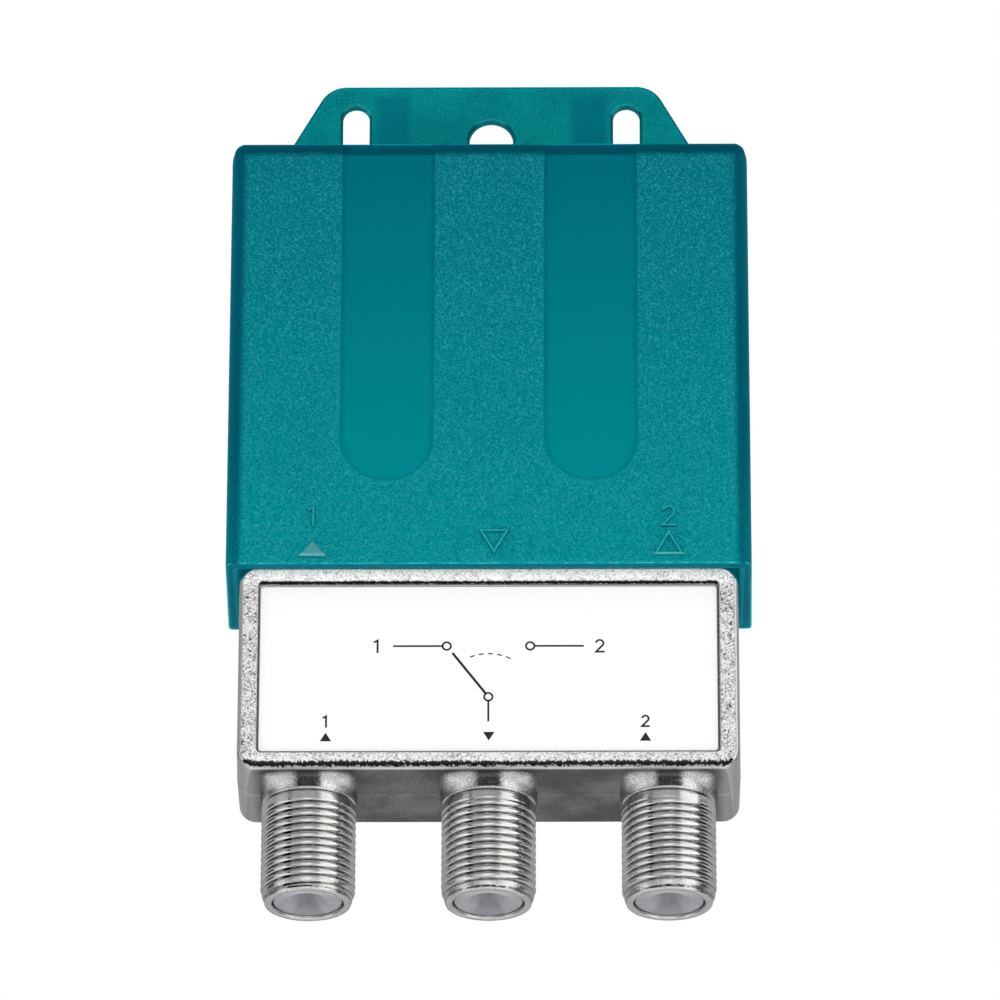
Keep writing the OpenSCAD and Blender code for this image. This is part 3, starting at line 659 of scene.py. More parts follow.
# ------------------------------------------------------------------ rain cover
def weighted_box(name, corners, weights, width, segments=6):
    """Box from 8 corners (bottom 4 then top 4, anticlockwise) whose edges are rounded by their own weights."""
    faces = [[3, 2, 1, 0], [4, 5, 6, 7], [0, 1, 5, 4], [1, 2, 6, 5], [2, 3, 7, 6], [3, 0, 4, 7]]
    ob = outward(mesh_object(name, corners, faces))
    att = ob.data.attributes.new("bevel_weight_edge", "FLOAT", "EDGE")
    for e in ob.data.edges:
        att.data[e.index].value = weights.get(frozenset(e.vertices), 0.0) / width
    mod = ob.modifiers.new("bevel", "BEVEL")
    mod.limit_method = "WEIGHT"
    mod.offset_type = "OFFSET"
    mod.width = width * MM
    mod.segments = segments
    mod.use_clamp_overlap = False
    bpy.context.view_layer.update()
    return apply_modifiers(ob)


def pair(a, b):
    return frozenset((a, b))


def make_cover():
    hf, hb = HALF_F, HALF_B
    c = [(-hf, -DEPTH, Z_BOT), (hf, -DEPTH, Z_BOT), (hb, 0, Z_BOT), (-hb, 0, Z_BOT),
         (-hf, -DEPTH, Z_TOP), (hf, -DEPTH, Z_TOP), (hb, 0, Z_TOP), (-hb, 0, Z_TOP)]
    w = {pair(0, 4): 1.0, pair(1, 5): 1.0, pair(4, 5): 0.4, pair(5, 6): 2.0, pair(4, 7): 2.0,
         pair(0, 1): 0.12, pair(1, 2): 0.3, pair(0, 3): 0.3, pair(2, 3): 0.2, pair(2, 6): 0.3, pair(3, 7): 0.3}
    body = weighted_box("rain_cover_shell", c, w, 2.0, 10)

    def inner(z, grow):
        f, bk = HALF_F - SIDE + grow, HALF_B - SIDE + grow
        y0, y1 = -DEPTH + WALL - grow, -WALL + grow
        pts = (arc(f - 0.4, y0 + 0.4, 0.4, -90, 0, 6) + arc(bk - 0.3, y1 - 0.3, 0.3, 0, 90, 6)
               + arc(-bk + 0.3, y1 - 0.3, 0.3, 90, 180, 6) + arc(-f + 0.4, y0 + 0.4, 0.4, 180, 270, 6))
        return [(p[0], p[1], z) for p in pts]
    top = Z_TOP - TOP
    cavity = loft("cavity", [inner(Z_BOT - 1.0, 1.0), inner(Z_BOT - 0.001, 0.14), inner(Z_BOT + 0.14, 0.0),
                             inner(top - 0.3, 0.0), inner(top - 0.09, -0.09), inner(top, -0.3)])
    boolean(body, cavity, "DIFFERENCE")

    # flange: a flat plate whose edges are rounded front and back
    def flange_outline(d):
        a = math.degrees(math.atan2(F_TOP - Z_TOP, F_LOW_X - F_TOP_X))      # slope of the sides
        # corner circle of radius 3, tangent to the top and to the slope
        half = (180 - a) / 2
        cx = F_TOP_X - 3.0 / math.tan(math.radians(half))
        cz = F_TOP - 3.0
        r = 3.0 - d
        tip = arc(cx, cz, r, 90 - a, 90, 14)
        low = -8.95
        slope = (F_LOW_X - F_TOP_X) / (F_TOP - Z_TOP)
        shift = d / math.cos(math.atan(slope))
        x_low = F_LOW_X + (Z_TOP - low) * slope - shift
        right_side = [(x_low, low)] + tip
        return right_side + [(-p[0], p[1]) for p in right_side[::-1]]
    e = 0.16
    plate = loft("flange", [in_y(flange_outline(e), -WALL), in_y(flange_outline(e * 0.3), -WALL + e * 0.3), in_y(flange_outline(0), -WALL + e),
                            in_y(flange_outline(0), -e), in_y(flange_outline(e * 0.3), -e * 0.3), in_y(flange_outline(e), 0.0)])
    boolean(body, plate, "UNION")

    # stand-off ribs behind
    for s in (-1, 1):
        x0, x1 = s * 10.3 - 1.95, s * 10.3 + 1.95
        prof = [(-0.1, Z_BOT + 1.5), (0.0, Z_BOT + 1.5), (2.4, Z_BOT + 3.9), (2.4, 5.5 - 1.44), (0.0, 5.5), (-0.1, 5.5)]
        small = [(-0.1, Z_BOT + 1.5), (0.0, Z_BOT + 1.5), (2.25, Z_BOT + 3.9), (2.25, 5.5 - 1.5), (0.0, 5.5), (-0.1, 5.5)]
        rib = loft("rib", [[(x0, *p) for p in small], [(x0 + 0.05, *p) for p in [((a * 0.65 + c_ * 0.35), (b_ * 0.65 + d_ * 0.35)) for (a, b_), (c_, d_) in zip(prof, small)]],
                           [(x0 + 0.15, *p) for p in prof], [(x1 - 0.15, *p) for p in prof],
                           [(x1 - 0.05, *p) for p in [((a * 0.65 + c_ * 0.35), (b_ * 0.65 + d_ * 0.35)) for (a, b_), (c_, d_) in zip(prof, small)]],
                           [(x1, *p) for p in small]])
        boolean(body, rib, "UNION")

    # screw hole and tie slots, with softened rims
    def through(points_at):
        g = 0.14
        return loft("hole", [in_y(points_at(g + 0.5), -WALL - 0.5), in_y(points_at(g), -WALL - 0.001), in_y(points_at(g * 0.25), -WALL + g * 0.35),
                             in_y(points_at(0), -WALL + g), in_y(points_at(0), -g), in_y(points_at(g * 0.25), -g * 0.35),
                             in_y(points_at(g), 0.001), in_y(points_at(g + 0.5), 0.5)])
    boolean(body, through(lambda g: arc(0, 0, 2.3 + g, 0, 360 - 360 / 64, 63)), "DIFFERENCE")
    for s in (-1, 1):
        boolean(body, through(lambda g: slot_points(s * 14.25, 2.8, 4.08 - 9.65, 4.08, g)), "DIFFERENCE")
    boolean(body, through(lambda g: rect_points(-1.8 - g, 1.8 + g, -49.25 - g, -10.55 + g, 0.25 + g, 4)), "DIFFERENCE")

    # smooth tracks in the front, a fifth of a millimetre deep with sloping sides
    for s in (-1, 1):
        def track(grow):
            r = TRACK_W / 2 + grow
            return arc(s * TRACK_X, TRACK_Z, r, 180, 360, 40) + [(s * TRACK_X + r, 3.0), (s * TRACK_X - r, 3.0)]
        cutter = loft("track", [in_y(track(0.35), -DEPTH - 0.5), in_y(track(0.05), -DEPTH - 0.02), in_y(track(-0.02), -DEPTH + 0.04),
                                in_y(track(-0.10), -DEPTH + 0.17), in_y(track(-0.16), -DEPTH + 0.2)])
        boolean(body, cutter, "DIFFERENCE")

    # raised marks: arrow heads and the numbers 1 and 2
    def mark(points, hole=None):
        ob = loft("mark", [in_y(points, -DEPTH + 0.1), in_y(points, -DEPTH - 0.02), in_y(shrink(points, 0.05), -DEPTH - 0.16), in_y(shrink(points, 0.11), -DEPTH - 0.2)])
        if hole:
            cut = loft("cut", [in_y(hole, -DEPTH + 0.3), in_y(hole, -DEPTH - 0.02), in_y(shrink(hole, -0.05), -DEPTH - 0.16), in_y(shrink(hole, -0.16), -DEPTH - 0.3)])
            boolean(ob, cut, "DIFFERENCE")
        boolean(body, ob, "UNION")
    z0 = Z_BOT
    mark(triangle(-17.8, z0 + 0.85, 2.95, 1.8))
    mark(triangle(0.55, z0 + 3.85, 3.3, -2.9), triangle(0.55, z0 + 3.85 - 0.32, 3.3 - 1.25, -(2.9 - 1.12)))
    mark(triangle(18.2, z0 + 1.0, 3.2, 2.9), triangle(18.2, z0 + 1.32, 3.2 - 1.25, 2.9 - 1.12))
    mark(digit(1, -17.8, z0 + 4.1, 2.4, 0.36))
    mark(digit(2, 18.2, z0 + 4.1, 2.4, 0.36))

    bm = bmesh.new()
    bm.from_mesh(body.data)
    bmesh.ops.remove_doubles(bm, verts=bm.verts, dist=0.004 * MM)
    bmesh.ops.dissolve_degenerate(bm, dist=0.002 * MM, edges=bm.edges)
    bm.to_mesh(body.data)
    bm.free()
    finish_normals(body, 33)
    return body


cover = make_cover()
dress(cover, TEAL)
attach(cover, "cover")
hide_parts("rain_cover", "mounting_flange", "stand_off_ribs")


# ------------------------------------------------------------------ die-cast box
NX, NZ, NC = 840, 320, 26


def outline(hx, z0, z1, r):
    """Rounded rectangle with a fixed number of points, anticlockwise, and its outward directions."""
    pts, nrm = [], []

    def line(a, b, n, d):
        for i in range(n):
            pts.append((a[0] + (b[0] - a[0]) * i / n, a[1] + (b[1] - a[1]) * i / n))
            nrm.append(d)

    def bend(cx, cz, a0):
        for i in range(NC):
            a = math.radians(a0 + 90 * i / NC)
            pts.append((cx + r * math.cos(a), cz + r * math.sin(a)))
            nrm.append((math.cos(a), math.sin(a)))
    line((-hx + r, z0), (hx - r, z0), NX, (0, -1))
    bend(hx - r, z0 + r, -90)
    line((hx, z0 + r), (hx, z1 - r), NZ, (1, 0))
    bend(hx - r, z1 - r, 0)
    line((hx - r, z1), (-hx + r, z1), NX, (0, 1))
    bend(-hx + r, z1 - r, 90)
    line((-hx, z1 - r), (-hx, z0 + r), NZ, (-1, 0))
    bend(-hx + r, z0 + r, 180)
    return np.array(pts), np.array(nrm)


def box_outer(y, d=0.0):
    """Outside of the box at depth y. The walls flare a little towards the back, as a casting's do."""
    t = (y - Y_F) / (Y_B - Y_F)
    k = math.sin(min(1.0, t * 1.35) * math.pi / 2)
    pts, nrm = outline(25.15 + 0.21 * k, B_BOT - 0.34 * t, B_TOP + 0.42 + 0.08 * t, 1.8)
    return pts - nrm * np.asarray(d).reshape(-1, 1), nrm


def recess(d):
    pts, nrm = outline(23.2, -76.3, -57.8, 0.42)
    return pts + nrm * np.asarray(d).reshape(-1, 1)


def recess_normals():
    return outline(23.2, -76.3, -57.8, 0.42)[1]


def make_housing():
    rows = []        # points in X and Z, depth y for each, grain, face
    base, nrm2 = box_outer(Y_F)
    upper = np.clip(recess_normals()[:, 1], 0, 1)
    below = np.clip(-recess_normals()[:, 1], 0, 1)
    ri = 0.17 + 0.25 * upper                 # the upper inner edge is rounder
    lower = np.clip(-nrm2[:, 1], 0, 1) ** 1.5
    ro = 0.46 + 0.50 * lower                 # wider rounding along the lower edge
    count = len(base)
    full = np.ones(count)

    def row(pts, y, grain, face=0.0, seam=0.0, phi=-1.0):
        rows.append((pts, full * y, full * grain, full * face))
        seams.append((full * seam, full * phi))
    seams = []       # painted shade in the seam round the label, and how far an edge has turned
    row(recess(-1.3), -14.25, 0)
    row(recess(-0.20), -14.25, 0, 0, 0.85 - 0.70 * upper)
    row(recess(-0.05), -14.25, 0, 0, 0.90 - 0.70 * upper)
    row(recess(-0.015), -14.262, 0, 0, 0.90 - 0.65 * upper)
    row(recess(0.0), -14.29, 0.10, 0, 0.90 - 0.60 * upper)
    for i in range(15):
        a = math.radians(90 * i / 14)
        k = i / 14
        row(recess(ri * (1 - math.cos(a))), Y_F + ri - ri * math.sin(a), 0.30 + 0.70 * k, k ** 4,
            (1 - upper) * max(0.0, min(1.0, 1.15 - 1.4 * k)) + upper * 0.45 * (1 - k), np.where(upper > 0.7, 90 * (1 - k), -1.0))
    inner, outer = recess(ri), base - nrm2 * ro[:, None]
    n = 22
    for i in range(1, n):
        t = i / n
        row(inner * (1 - t) + outer * t, Y_F - 0.03 * math.sin(math.pi * t), 1.0, 1.0)
    for i in range(22):
        k = i / 21
        a = math.radians(90 * k)
        pts = base - nrm2 * (ro * (1 - math.sin(a)))[:, None]
        g = (1.0 - 0.9 * min(1.0, k * 3.2)) * (1 - lower) + lower * max(0.12, min(1.0, 1.9 - 3.0 * k))
        row(pts, Y_F + ro * (1 - math.cos(a)), g, max(0.0, 1 - k * 4) * (1 - lower) + lower * max(0.0, min(1.0, 1.7 - 4 * k)),
            0.0, np.where(lower > 0.5, 100 + 90 * k, -1.0))
    for i in range(1, 9):
        y = Y_F + ro + (-12.6 - Y_F - ro) * i / 8
        g = (0.10 + 0.25 * lower * (1 - i / 8))
        pts = box_outer(-14.0 + 1.4 * i / 8)[0]
        row(pts, y, g)
    for y in np.arange(-12.2, -8.2, 0.4):
        row(box_outer(y)[0], y, 0.10)
    for y, d in ((-8.12, 0.0), (-8.07, 0.0), (-8.04, -0.03), (-7.97, -0.03), (-7.94, 0.02), (-7.88, 0.0)):
        row(box_outer(y, d)[0], y, 0.05)
    for y in np.arange(-7.5, -1.6, 0.4):
        row(box_outer(y)[0], y, 0.10)
    for i in range(6):
        a = math.radians(90 * i / 5)
        y = Y_B - 0.3 + 0.3 * math.sin(a)
        row(box_outer(y, 0.3 * (1 - math.cos(a)))[0], y, 0.05)
    rebate = outline(24.30, -77.15, -57.15, 1.0)[0]
    row(outline(24.38, -77.23, -57.07, 1.08)[0], Y_B, 0)
    row(outline(24.32, -77.17, -57.13, 1.02)[0], Y_B - 0.02, 0)
    row(rebate, Y_B - 0.08, 0)
    row(rebate, Y_B - 0.5, 0)
    hole = outline(23.55, -76.4, -57.9, 0.8)[0]
    row(hole, Y_B - 0.5, 0)
    row(hole, -12.9, 0)
    row(outline(23.4, -76.25, -58.05, 0.65)[0], -13.0, 0)

    verts = np.zeros((len(rows), count, 3))
    for k, (pts, y, g, f) in enumerate(rows):
        verts[k, :, 0], verts[k, :, 1], verts[k, :, 2] = pts[:, 0], y, pts[:, 1]
    # gap for the lid's tongue in the rear rim
    top = (np.abs(verts[:, :, 0]) < 4.1) & (verts[:, :, 2] > -57.95) & (verts[:, :, 1] > Y_B - 0.5)
    verts[:, :, 1] = np.where(top, Y_B - 0.5, verts[:, :, 1])

    # cast grain: the surface itself is moved along its normal, with narrow winding valleys
    du = np.roll(verts, -1, 1) - np.roll(verts, 1, 1)
    dv = np.zeros_like(verts)
    dv[1:-1] = verts[2:] - verts[:-2]
    dv[0], dv[-1] = verts[1] - verts[0], verts[-1] - verts[-2]
    nrm = np.cross(dv, du)
    nrm /= np.maximum(np.linalg.norm(nrm, axis=2, keepdims=True), 1e-9)
    flat = verts.reshape(-1, 3)
    amount = np.concatenate([r[2] for r in rows])
    face = np.concatenate([r[3] for r in rows])
    lowness = np.tile(lower, len(rows))
    seam = np.concatenate([q[0] for q in seams])
    phi = np.concatenate([q[1] for q in seams])
    beside = np.tile(np.abs(nrm2[:, 0]), len(rows))
    upness = np.tile(upper, len(rows))
    move = np.zeros(len(flat))
    valley = np.zeros(len(flat))
    for i in np.nonzero(amount > 0)[0]:
        p = Vector(flat[i])
        q = p + noise.noise_vector(p * 1.6) * 0.25
        a = noise.noise(q * 2.9)
        b = noise.noise(q * 5.0 + Vector((7.1, 3.3, 1.7)))
        c = noise.noise(p * 1.0 + Vector((2.2, 9.1, 4.4)))
        line = math.exp(-(a / 0.105) ** 2) * min(1.0, max(0.0, 0.66 + 0.24 * beside[i] + 1.7 * c + 0.9 * b))
        pit = min(0.8, max(0.0, (b - 0.27) * 3.5))
        speck = min(1.0, max(0.0, (noise.noise(q * 6.5 + Vector((3.0, 8.0, 1.0))) - 0.10) * 3.2))
        cut = max(0.92 * line, pit, 0.60 * speck) * (1.0 + 0.30 * beside[i] - 0.22 * upness[i])
        move[i] = amount[i] * (-0.036 * cut + 0.018 * b + 0.012 * c)
        # the valley value is painted shade in the grain's valleys and in the seam round the label
        v_ = max(cut * max(face[i], 0.5 * amount[i] * lowness[i]), min(1.0, seam[i] * (1.0 + 0.9 * b)))
        if phi[i] >= 0:              # painted dark reflections: the hard irregular dark lines of the upper inner and the lower outer edge
            f = phi[i] if phi[i] < 95 else phi[i] - 100
            lo, hi = (17, 74) if phi[i] < 95 else (13, 54)
            f += 8 * noise.noise(p * 2.6 + Vector((5.0, 1.0, 8.0))) + 13 * b
            v_ = max(v_, min(1.0, max(0.0, (f - lo) / 7)) * min(1.0, max(0.0, (hi - f) / 7)) * 1.12)
        valley[i] = v_
    rest = (amount <= 0) & (seam > 0)
    valley[rest] = seam[rest]
    flat = flat + nrm.reshape(-1, 3) * move[:, None]

    idx = np.arange(len(rows) * count).reshape(len(rows), count)
    nxt = np.roll(idx, -1, 1)
    faces = np.stack([idx[:-1], nxt[:-1], nxt[1:], idx[1:]], -1).reshape(-1, 4).tolist()
    for r0 in (0, len(rows) - 1):       # floors of the recess and of the inside
        r = idx[r0].tolist()
        bottom, right_, top_, left_ = (r[:NX + 1], r[NX:NX + NC * 2 + NZ + 1], r[NX + 2 * NC + NZ:2 * NX + 2 * NC + NZ + 1],
                                       r[2 * NX + 2 * NC + NZ:] + [r[0]])
        for i in range(NX):
            faces.append([bottom[i], bottom[i + 1], top_[NX - i - 1], top_[NX - i]])
        faces.append(right_)
        faces.append(left_)
    ob = mesh_object("switch_housing_body", flat, faces)
    for nm, val in (("valley", valley), ("face", face)):
        att = ob.data.attributes.new(nm, "FLOAT", "POINT")
        att.data.foreach_set("value", val.astype(np.float32))
    outward(ob)
    finish_normals(ob, 50, weighted=False)
    return ob


housing = make_housing()
dress(housing, NICKEL)
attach(housing, "switch_unit")
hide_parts("switch_housing")


# ------------------------------------------------------------------ threaded ports
def thread_shape(phase):
    """Height of the thread, 0 at the root and 1 at the crest, for a phase from 0 to 1: round crests, sharp grooves."""
    u = np.abs(((phase + 0.5) % 1.0) - 0.5) * 2          # 0 at the crest, 1 at the root
    return 1 - u ** 2.6


def make_barrel(name, px, start):
    cols = 160
    th = np.linspace(0, 2 * np.pi, cols, endpoint=False)
    # the neck widens softly into the bottom face, most of all towards the front
    foot = ((np.abs(np.cos(th)) / 4.92) ** 6 + (np.abs(np.sin(th)) / np.where(np.sin(th) < 0, 5.78, 5.2)) ** 6) ** (-1 / 6)
    rows = []

    def ring_row(r, zz):
        rows.append(np.stack([r * np.cos(th), r * np.sin(th), np.full(cols, zz)], 1))
    one = np.ones(cols)
    ring_row(foot + 0.05, -77.85)
    for i in range(0, 19):
        a = math.radians(90 * (1 - i / 18))
        ring_row(4.70 + (foot - 4.70) * (1 - math.cos(a)), -79.25 + 1.25 * math.sin(a))
    for r, zz in ((4.69, -79.28), (4.66, -79.31), (4.52, -79.37), (4.48, -79.41), (4.52, -79.46), (4.68, -79.54), (4.735, -79.59), (4.755, -79.66)):
        ring_row(one * r, zz)
    first = len(rows)
    grooves = []
    z = -79.75
    zs = []
    while z > -89.93:
        zs.append(z)
        z -= 0.0345
    for zz in zs:
        phase = (zz - start) / PITCH - (th + np.pi / 2) / (2 * np.pi) + 0.5
        run_in = np.clip((-80.28 - zz) / 0.5, 0, 1)
        run_in = run_in * run_in * (3 - 2 * run_in)
        h = thread_shape(phase)
        # the end is tapered, with the thread running out on it
        taper = max(0.0, -88.70 - zz)
        top = CREST - 0.33 * taper
        root = min(ROOT + 0.04, top - 0.12)
        ring_row(top - (top - root) * (1 - h) * run_in, zz)
        u = 2 * (((phase + 0.5) % 1.0) - 0.5)              # -1 and 1 at the root, 0 at the crest
        # painted shade: the groove value darkens the thread's roots and the last turns at the end
        dark = np.clip((np.abs(u) - np.where(u > 0, 0.60, 0.68)) / 0.16, 0, 1) * run_in
        if zz < -89.72:
            dark = np.maximum(dark * 0.6, min(1.0, (-89.72 - zz) / 0.04) * (zz > -89.92))
        grooves.append(dark)
    last = len(rows)
    end = [(4.335, -89.96), (4.31, -90.02), (4.24, -90.08), (4.15, -90.1),
           (3.76, -90.1), (3.68, -90.085), (3.63, -90.04), (3.6, -89.96), (3.6, -89.5), (3.6, -80.6), (3.5, -80.5)]
    rows += [np.stack([r * np.cos(th), r * np.sin(th), np.full(cols, zz)], 1) for r, zz in end]
    v = np.array(rows)
    # light dents and cast waviness
    tilt = np.clip((v[:, :, 2] + 79.3) / 1.2, 0, 1)
    tilt = tilt * tilt * (3 - 2 * tilt)
    v[:, :, 2] -= tilt * 0.34 * (v[:, :, 1] + PORT_Y - Y_F) / (Y_B - Y_F)
    flat = v.reshape(-1, 3)
    flat = flat + np.array([px, PORT_Y, 0.0])
    nr = np.stack([np.tile(np.cos(th), len(rows)), np.tile(np.sin(th), len(rows)), np.zeros(len(flat))], 1)
    amp = np.array([0.010 if (p[2] > -80.7 and p[2] < -77.9) else (0.004 if p[2] > -89.2 else 0.006) for p in flat])
    outer_side = np.arange(len(flat)) < (len(rows) - 8) * cols
    shift = np.array([noise.noise(Vector(p) * 1.7) for p in flat]) * amp * outer_side
    flat = flat + nr * shift[:, None]
    idx = np.arange(len(rows) * cols).reshape(len(rows), cols)
    nxt = np.roll(idx, -1, 1)
    faces = np.stack([idx[:-1], idx[1:], nxt[1:], nxt[:-1]], -1).reshape(-1, 4).tolist()
    faces.append(idx[0].tolist())
    faces.append(idx[-1].tolist())
    ob = mesh_object(name, flat, faces)
    dark = np.zeros((len(rows), cols))
    dark[first:last] = np.array(grooves)
    dark = dark.reshape(-1)
    for i in np.nonzero(dark > 0)[0]:
        p = Vector(flat[i])
        n_ = noise.noise(p * 2.2) + 0.5 * noise.noise(p * 5.0)
        near_end = min(1.0, max(0.0, (-89.6 - p.z) / 0.15))
        dark[i] = min(1.0, max(0.0, dark[i] * (1.0 + 0.5 * n_ - near_end * (0.15 - 1.6 * n_))))
    att = ob.data.attributes.new("groove", "FLOAT", "POINT")
    att.data.foreach_set("value", dark.astype(np.float32))
    outward(ob)
    finish_normals(ob, 60, weighted=False)
    return ob


for nm, px, ph in (("left", PORT_X[0], -80.72), ("centre", PORT_X[1], -81.18), ("right", PORT_X[2], -81.05)):
    barrel = make_barrel("port_barrel_" + nm, px, ph)
    dress(barrel, THREADS)
    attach(barrel, "switch_unit")
    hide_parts("switch_housing")

# ------------------------------------------------------------------ label
LABEL = label_material()
INK = ink_material()


def flat_piece(name, outlines, y, thick):
    """Thin plates with the given outlines, lying on the plane y and rising towards the front."""
    verts, faces = [], []
    for pts in outlines:
        n, base = len(pts), len(verts)
        verts += in_y(pts, y) + in_y(pts, y - thick)
        faces.append([base + i for i in range(n)])
        faces.append([base + n + i for i in range(n)][::-1])
        for i in range(n):
            j = (i + 1) % n
            faces.append([base + i, base + n + i, base + n + j, base + j])
    ob = mesh_object(name, verts, faces)
    return outward(ob)


def label_sheet(name):
    def o(d):
        return rect_points(-23.02 + d, 23.02 - d, -76.12 + d, -58.03 - d, 0.32 - d, 8)
    ob = loft(name, [in_y(o(0.02), -14.25), in_y(o(0.0), -14.27), in_y(o(0.0), -14.35), in_y(o(0.02), -14.37)])
    finish_normals(ob, 60)
    return ob


label = label_sheet("label_sheet")
dress(label, LABEL)
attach(label, "switch_unit")
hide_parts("label")

marks = [triangle(-16.3, -75.05, 1.15, 0.95), triangle(0.05, -74.05, 1.15, -0.95), triangle(15.75, -75.05, 1.15, 0.95)]
marks.append(digit(1, -16.3, -73.55, 1.35, 0.20))
marks.append(digit(2, 15.75, -73.55, 1.35, 0.20))


def ring(x, z, r, w, n=28):
    """An open ring drawn as one outline, cut at its right side."""
    return arc(x, z, r + w / 2, 1, 359, n) + arc(x, z, r - w / 2, 359, 1, n)


# a plain change-over switch sign: two contacts above, one below, and the arm between
lw = 0.2
marks += [ring(-4.2, -64.6, 0.42, lw), ring(4.2, -64.6, 0.42, lw), ring(0.0, -70.2, 0.42, lw)]
marks.append(stroke([(-9.6, -64.6), (-4.62, -64.6)], lw))
marks.append(stroke([(4.62, -64.6), (9.6, -64.6)], lw))
marks.append(stroke([(0.0, -70.62), (0.0, -72.9)], lw))
marks.append(stroke([(-0.25, -69.86), (-3.62, -65.36)], 0.26))
for k in range(5):
    a0, a1 = 113 - 11.2 * k, 113 - 11.2 * k - 6
    marks.append(stroke(arc(0, -70.2, 4.75, a0, a1, 3), 0.14))
marks.append(digit(1, -11.2, -65.35, 1.5, 0.2))
marks.append(digit(2, 11.2, -65.35, 1.5, 0.2))
ink = flat_piece("label_marks", marks, -14.368, 0.008)
dress(ink, INK)
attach(ink, "switch_unit")

# ------------------------------------------------------------------ insulators
INS = insulator_material()
for nm, px in (("left", PORT_X[0]), ("centre", PORT_X[1]), ("right", PORT_X[2])):
    prof = [(0.45, -80.0), (1.5, -80.0), (1.5, -80.5), (3.58, -80.5), (3.59, -85.0), (3.59, -89.2), (3.43, -89.28), (3.42, -89.72), (3.39, -89.79), (3.32, -89.81)]
    for i in range(1, 15):
        t_ = i / 14
        r = 3.32 - (3.32 - 0.62) * t_
        s_ = min(1.0, max(0.0, (2.55 - r) / 1.95))
        prof.append((r, -89.81 + 1.31 * s_ ** 1.7))
    prof += [(0.60, -88.3), (0.62, -88.0), (0.98, -87.9), (0.98, -80.9), (0.45, -80.8), (0.45, -80.0)]
    ob = revolve("insulator_" + nm, prof, px, PORT_Y, 96)
    finish_normals(ob, 40)
    dress(ob, INS)
    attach(ob, "switch_unit")
    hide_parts("port_insulator_" + nm)

# ------------------------------------------------------------------ pieces that keep their CAD mesh
mats = {
    "back_lid": metal_material("tinned_sheet", (0.70, 0.71, 0.72), 0.36, 0.9, (1, 1, 1), 0.25, 0.00005),
    "contact": metal_material("tinned_brass", (0.78, 0.74, 0.62), 0.22, 3.0, (1, 1, 0.2), 0.2),
    "board": board_material(),
    "solder": metal_material("bright_solder", (0.74, 0.75, 0.76), 0.20, 1.4, (1, 1, 1), 0.5, 0.00006),
    "epoxy": dull_material("black_epoxy", (0.012, 0.012, 0.013), (0.030, 0.030, 0.032), 0.55, 9.0, 0.4, 0.00003),
    "lead": metal_material("tinned_leads", (0.78, 0.78, 0.77), 0.26, 4.0),
    "ferrite": dull_material("ferrite", (0.030, 0.030, 0.033), (0.075, 0.073, 0.075), 0.62, 7.0, 0.6, 0.00005),
    "copper": metal_material("enamelled_copper", (0.66, 0.26, 0.09), 0.24, 5.0, (1, 6, 1), 0.3),
    "chip": dull_material("chip_ceramic", (0.30, 0.19, 0.10), (0.46, 0.31, 0.17), 0.42, 6.0),
    "film": dull_material("chip_film", (0.010, 0.010, 0.012), (0.028, 0.028, 0.030), 0.30, 6.0),
    "can": metal_material("drawn_aluminium", (0.80, 0.81, 0.82), 0.30, 2.0, (1, 8, 1), 0.2),
}
use = {
    "back_lid": "back_lid", "port_contact_left": "contact", "port_contact_centre": "contact",
    "port_contact_right": "contact", "circuit_board": "board", "solder_joints": "solder",
    "microcontroller": "epoxy", "microcontroller_leads": "lead", "voltage_regulator": "epoxy",
    "choke_cores": "ferrite", "choke_windings": "copper", "ceramic_capacitors": "chip",
    "chip_resistors": "film", "capacitor_can": "can", "capacitor_base": "epoxy",
    "switching_diodes": "epoxy", "switching_transistors": "epoxy", "ceramic_resonator": "lead",
}
for node_name, key in use.items():
    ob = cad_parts[node_name]
    dress(ob, mats[key])
    bevel = ob.modifiers.new("edges", "BEVEL")
    bevel.limit_method = "ANGLE"
    bevel.angle_limit = math.radians(50)
    bevel.width = (0.12 if node_name == "back_lid" else 0.03) * MM
    bevel.segments = 2
    bevel.harden_normals = False

# ------------------------------------------------------------------ floor and light
floor = mesh_object("floor", [(-4, -4, -0.62), (4, -4, -0.62), (4, 4, -0.62), (-4, 4, -0.62)], [[0, 1, 2, 3]], 1.0)
fmat, t, b, out = material("pale_floor")
v, x, y, z = t.mm()
t.put(b.inputs["Base Color"], t.mix(t.noise(v, 0.004, 3.0, 0.5), (0.80, 0.80, 0.80), (0.84, 0.84, 0.84)))
b.inputs["Roughness"].default_value = 0.9
b.inputs["Specular IOR Level"].default_value = 0.1
dress(floor, fmat)
for flag in ("visible_glossy", "visible_diffuse", "visible_transmission", "visible_shadow", "visible_volume_scatter"):
    setattr(floor, flag, False)

world = bpy.data.worlds.new("studio")
bpy.context.scene.world = world
world.use_nodes = True
t = Nodes(world.node_tree)
co = t.new("ShaderNodeTexCoord").outputs["Generated"]
sep = t.new("ShaderNodeSeparateXYZ")
t.put(sep.inputs[0], co)
wx, wy, wz = sep.outputs
elev = t.math("MULTIPLY", t.math("ARCSINE", wz), 57.29578)
azim = t.math("MULTIPLY", t.math("ARCTAN2", wx, t.math("MULTIPLY", wy, -1.0)), 57.29578)
aaz = t.math("ABSOLUTE", azim)


def between(v, a, b_, soft):
    """1 between a and b_, with soft borders of the given width."""
    return t.math("MULTIPLY", t.smooth(v, a - soft, a + soft), t.smooth(v, b_ - soft, b_ + soft, 1.0, 0.0))


def layer(value, mask, under):
    return t.math("ADD", t.math("MULTIPLY", mask, value), t.math("MULTIPLY", t.math("SUBTRACT", 1.0, mask), under))


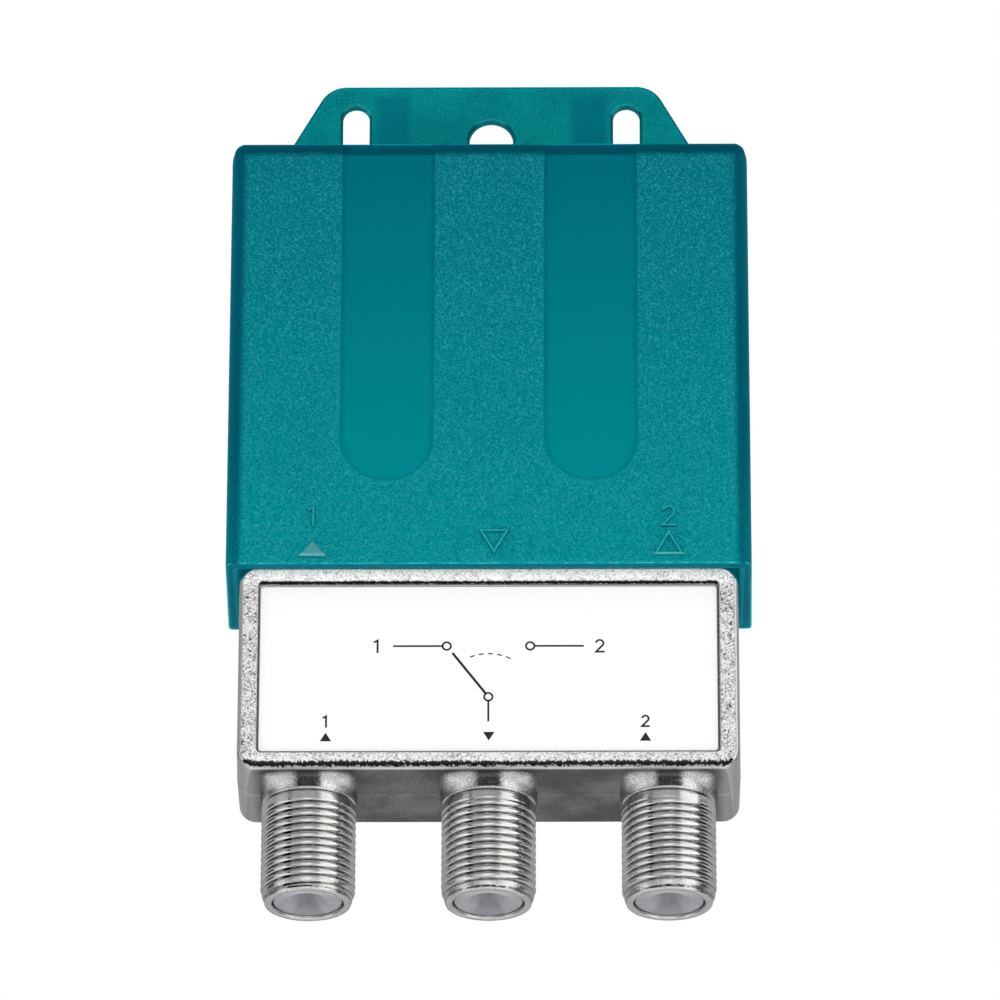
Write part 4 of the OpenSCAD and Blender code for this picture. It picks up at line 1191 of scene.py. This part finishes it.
def ramp(stops):
    """Brightness by elevation, straight between the (degrees, value) stops."""
    nd = t.new("ShaderNodeValToRGB")
    t.put(nd.inputs[0], t.math("DIVIDE", t.math("ADD", elev, 90.0), 180.0))
    el = nd.color_ramp.elements
    while len(el) > 1:
        el.remove(el[-1])
    for i, (e, value) in enumerate(stops):
        item = el[0] if i == 0 else el.new((e + 90.0) / 180.0)
        item.position = (e + 90.0) / 180.0
        item.color = (value / 2, value / 2, value / 2, 1.0)
    return t.math("MULTIPLY", nd.outputs[0], 2.0)


# The studio as the metal sees it, from the front: a white table low in front, a grey screen behind the
# camera, a large lamp to the right of it and a weaker one to the left with a dark gap beside it, and a
# dark room above and behind.
front_mid = ramp([(-90, 0.25), (-75, 0.50), (-50, 1.00), (-18, 1.10), (10, 0.62), (25, 0.40), (45, 0.29), (60, 0.18), (90, 0.15)])
front_side = ramp([(-90, 0.22), (-75, 0.38), (-50, 0.62), (-18, 0.57), (10, 0.46), (25, 0.37), (45, 0.26), (60, 0.16), (90, 0.12)])
left_lamp = ramp([(-90, 0.35), (-75, 0.85), (-50, 1.05), (-18, 0.86), (12, 0.54), (25, 0.46), (45, 0.30), (60, 0.15), (90, 0.12)])
gap = ramp([(-90, 0.10), (-60, 0.03), (12, 0.03), (25, 0.25), (40, 0.20), (60, 0.05), (90, 0.10)])
right_lamp = ramp([(-90, 0.50), (-75, 1.10), (-60, 1.35), (-20, 1.30), (25, 1.25), (45, 1.15), (62, 0.40), (90, 0.20)])
far_right = ramp([(-90, 0.20), (-60, 0.30), (-35, 0.10), (12, 0.03), (20, 0.12), (26, 0.66), (31, 0.25), (37, 0.06), (90, 0.10)])
far_left = ramp([(-90, 0.30), (-50, 0.60), (-25, 0.30), (-5, 0.06), (13, 0.04), (20, 0.14), (26, 0.50), (34, 0.22), (44, 0.08), (90, 0.10)])
behind = ramp([(-90, 0.60), (-75, 0.95), (-50, 0.85), (-36, 0.50), (-15, 0.46), (-4, 0.32), (6, 0.38), (45, 0.42), (65, 0.30), (90, 0.15)])
studio = behind
studio = layer(left_lamp, between(azim, -112, -30, 5.0), studio)
studio = layer(far_right, between(azim, 72, 107, 1.5), studio)
studio = layer(far_left, between(azim, -114, -84, 2.0), studio)
studio = layer(front_side, between(azim, -41, 31, 1.5), studio)
studio = layer(gap, between(azim, -50, -41, 1.2), studio)
studio = layer(t.math("MULTIPLY", right_lamp, t.smooth(azim, 30, 74, 0.78, 1.0, "LINEAR")), between(azim, 30, 76, 1.5), studio)
studio = layer(front_mid, t.smooth(aaz, 9, 17, 1.0, 0.0), studio)
path = t.new("ShaderNodeLightPath")
soft = t.smooth(elev, -70, 70, 1.20, 1.00)
level = t.math("ADD", t.math("MULTIPLY", studio, path.outputs["Is Glossy Ray"]),
               t.math("MULTIPLY", soft, t.math("SUBTRACT", 1.0, path.outputs["Is Glossy Ray"])))
cam_ray = path.outputs["Is Camera Ray"]
level = t.math("ADD", t.math("MULTIPLY", level, t.math("SUBTRACT", 1.0, cam_ray)), cam_ray)
bg = t.new("ShaderNodeBackground")
t.put(bg.inputs["Strength"], level)
bg.inputs["Color"].default_value = (1.0, 1.0, 1.0, 1.0)
wo = t.new("ShaderNodeOutputWorld")
t.tree.links.new(bg.outputs[0], wo.inputs[0])

scene = bpy.context.scene
scene.view_settings.view_transform = "Standard"
scene.view_settings.look = "None"
scene.cycles.use_denoising = True
scene.cycles.max_bounces = 12
scene.cycles.sample_clamp_indirect = 8.0
world.cycles.sampling_method = "NONE"
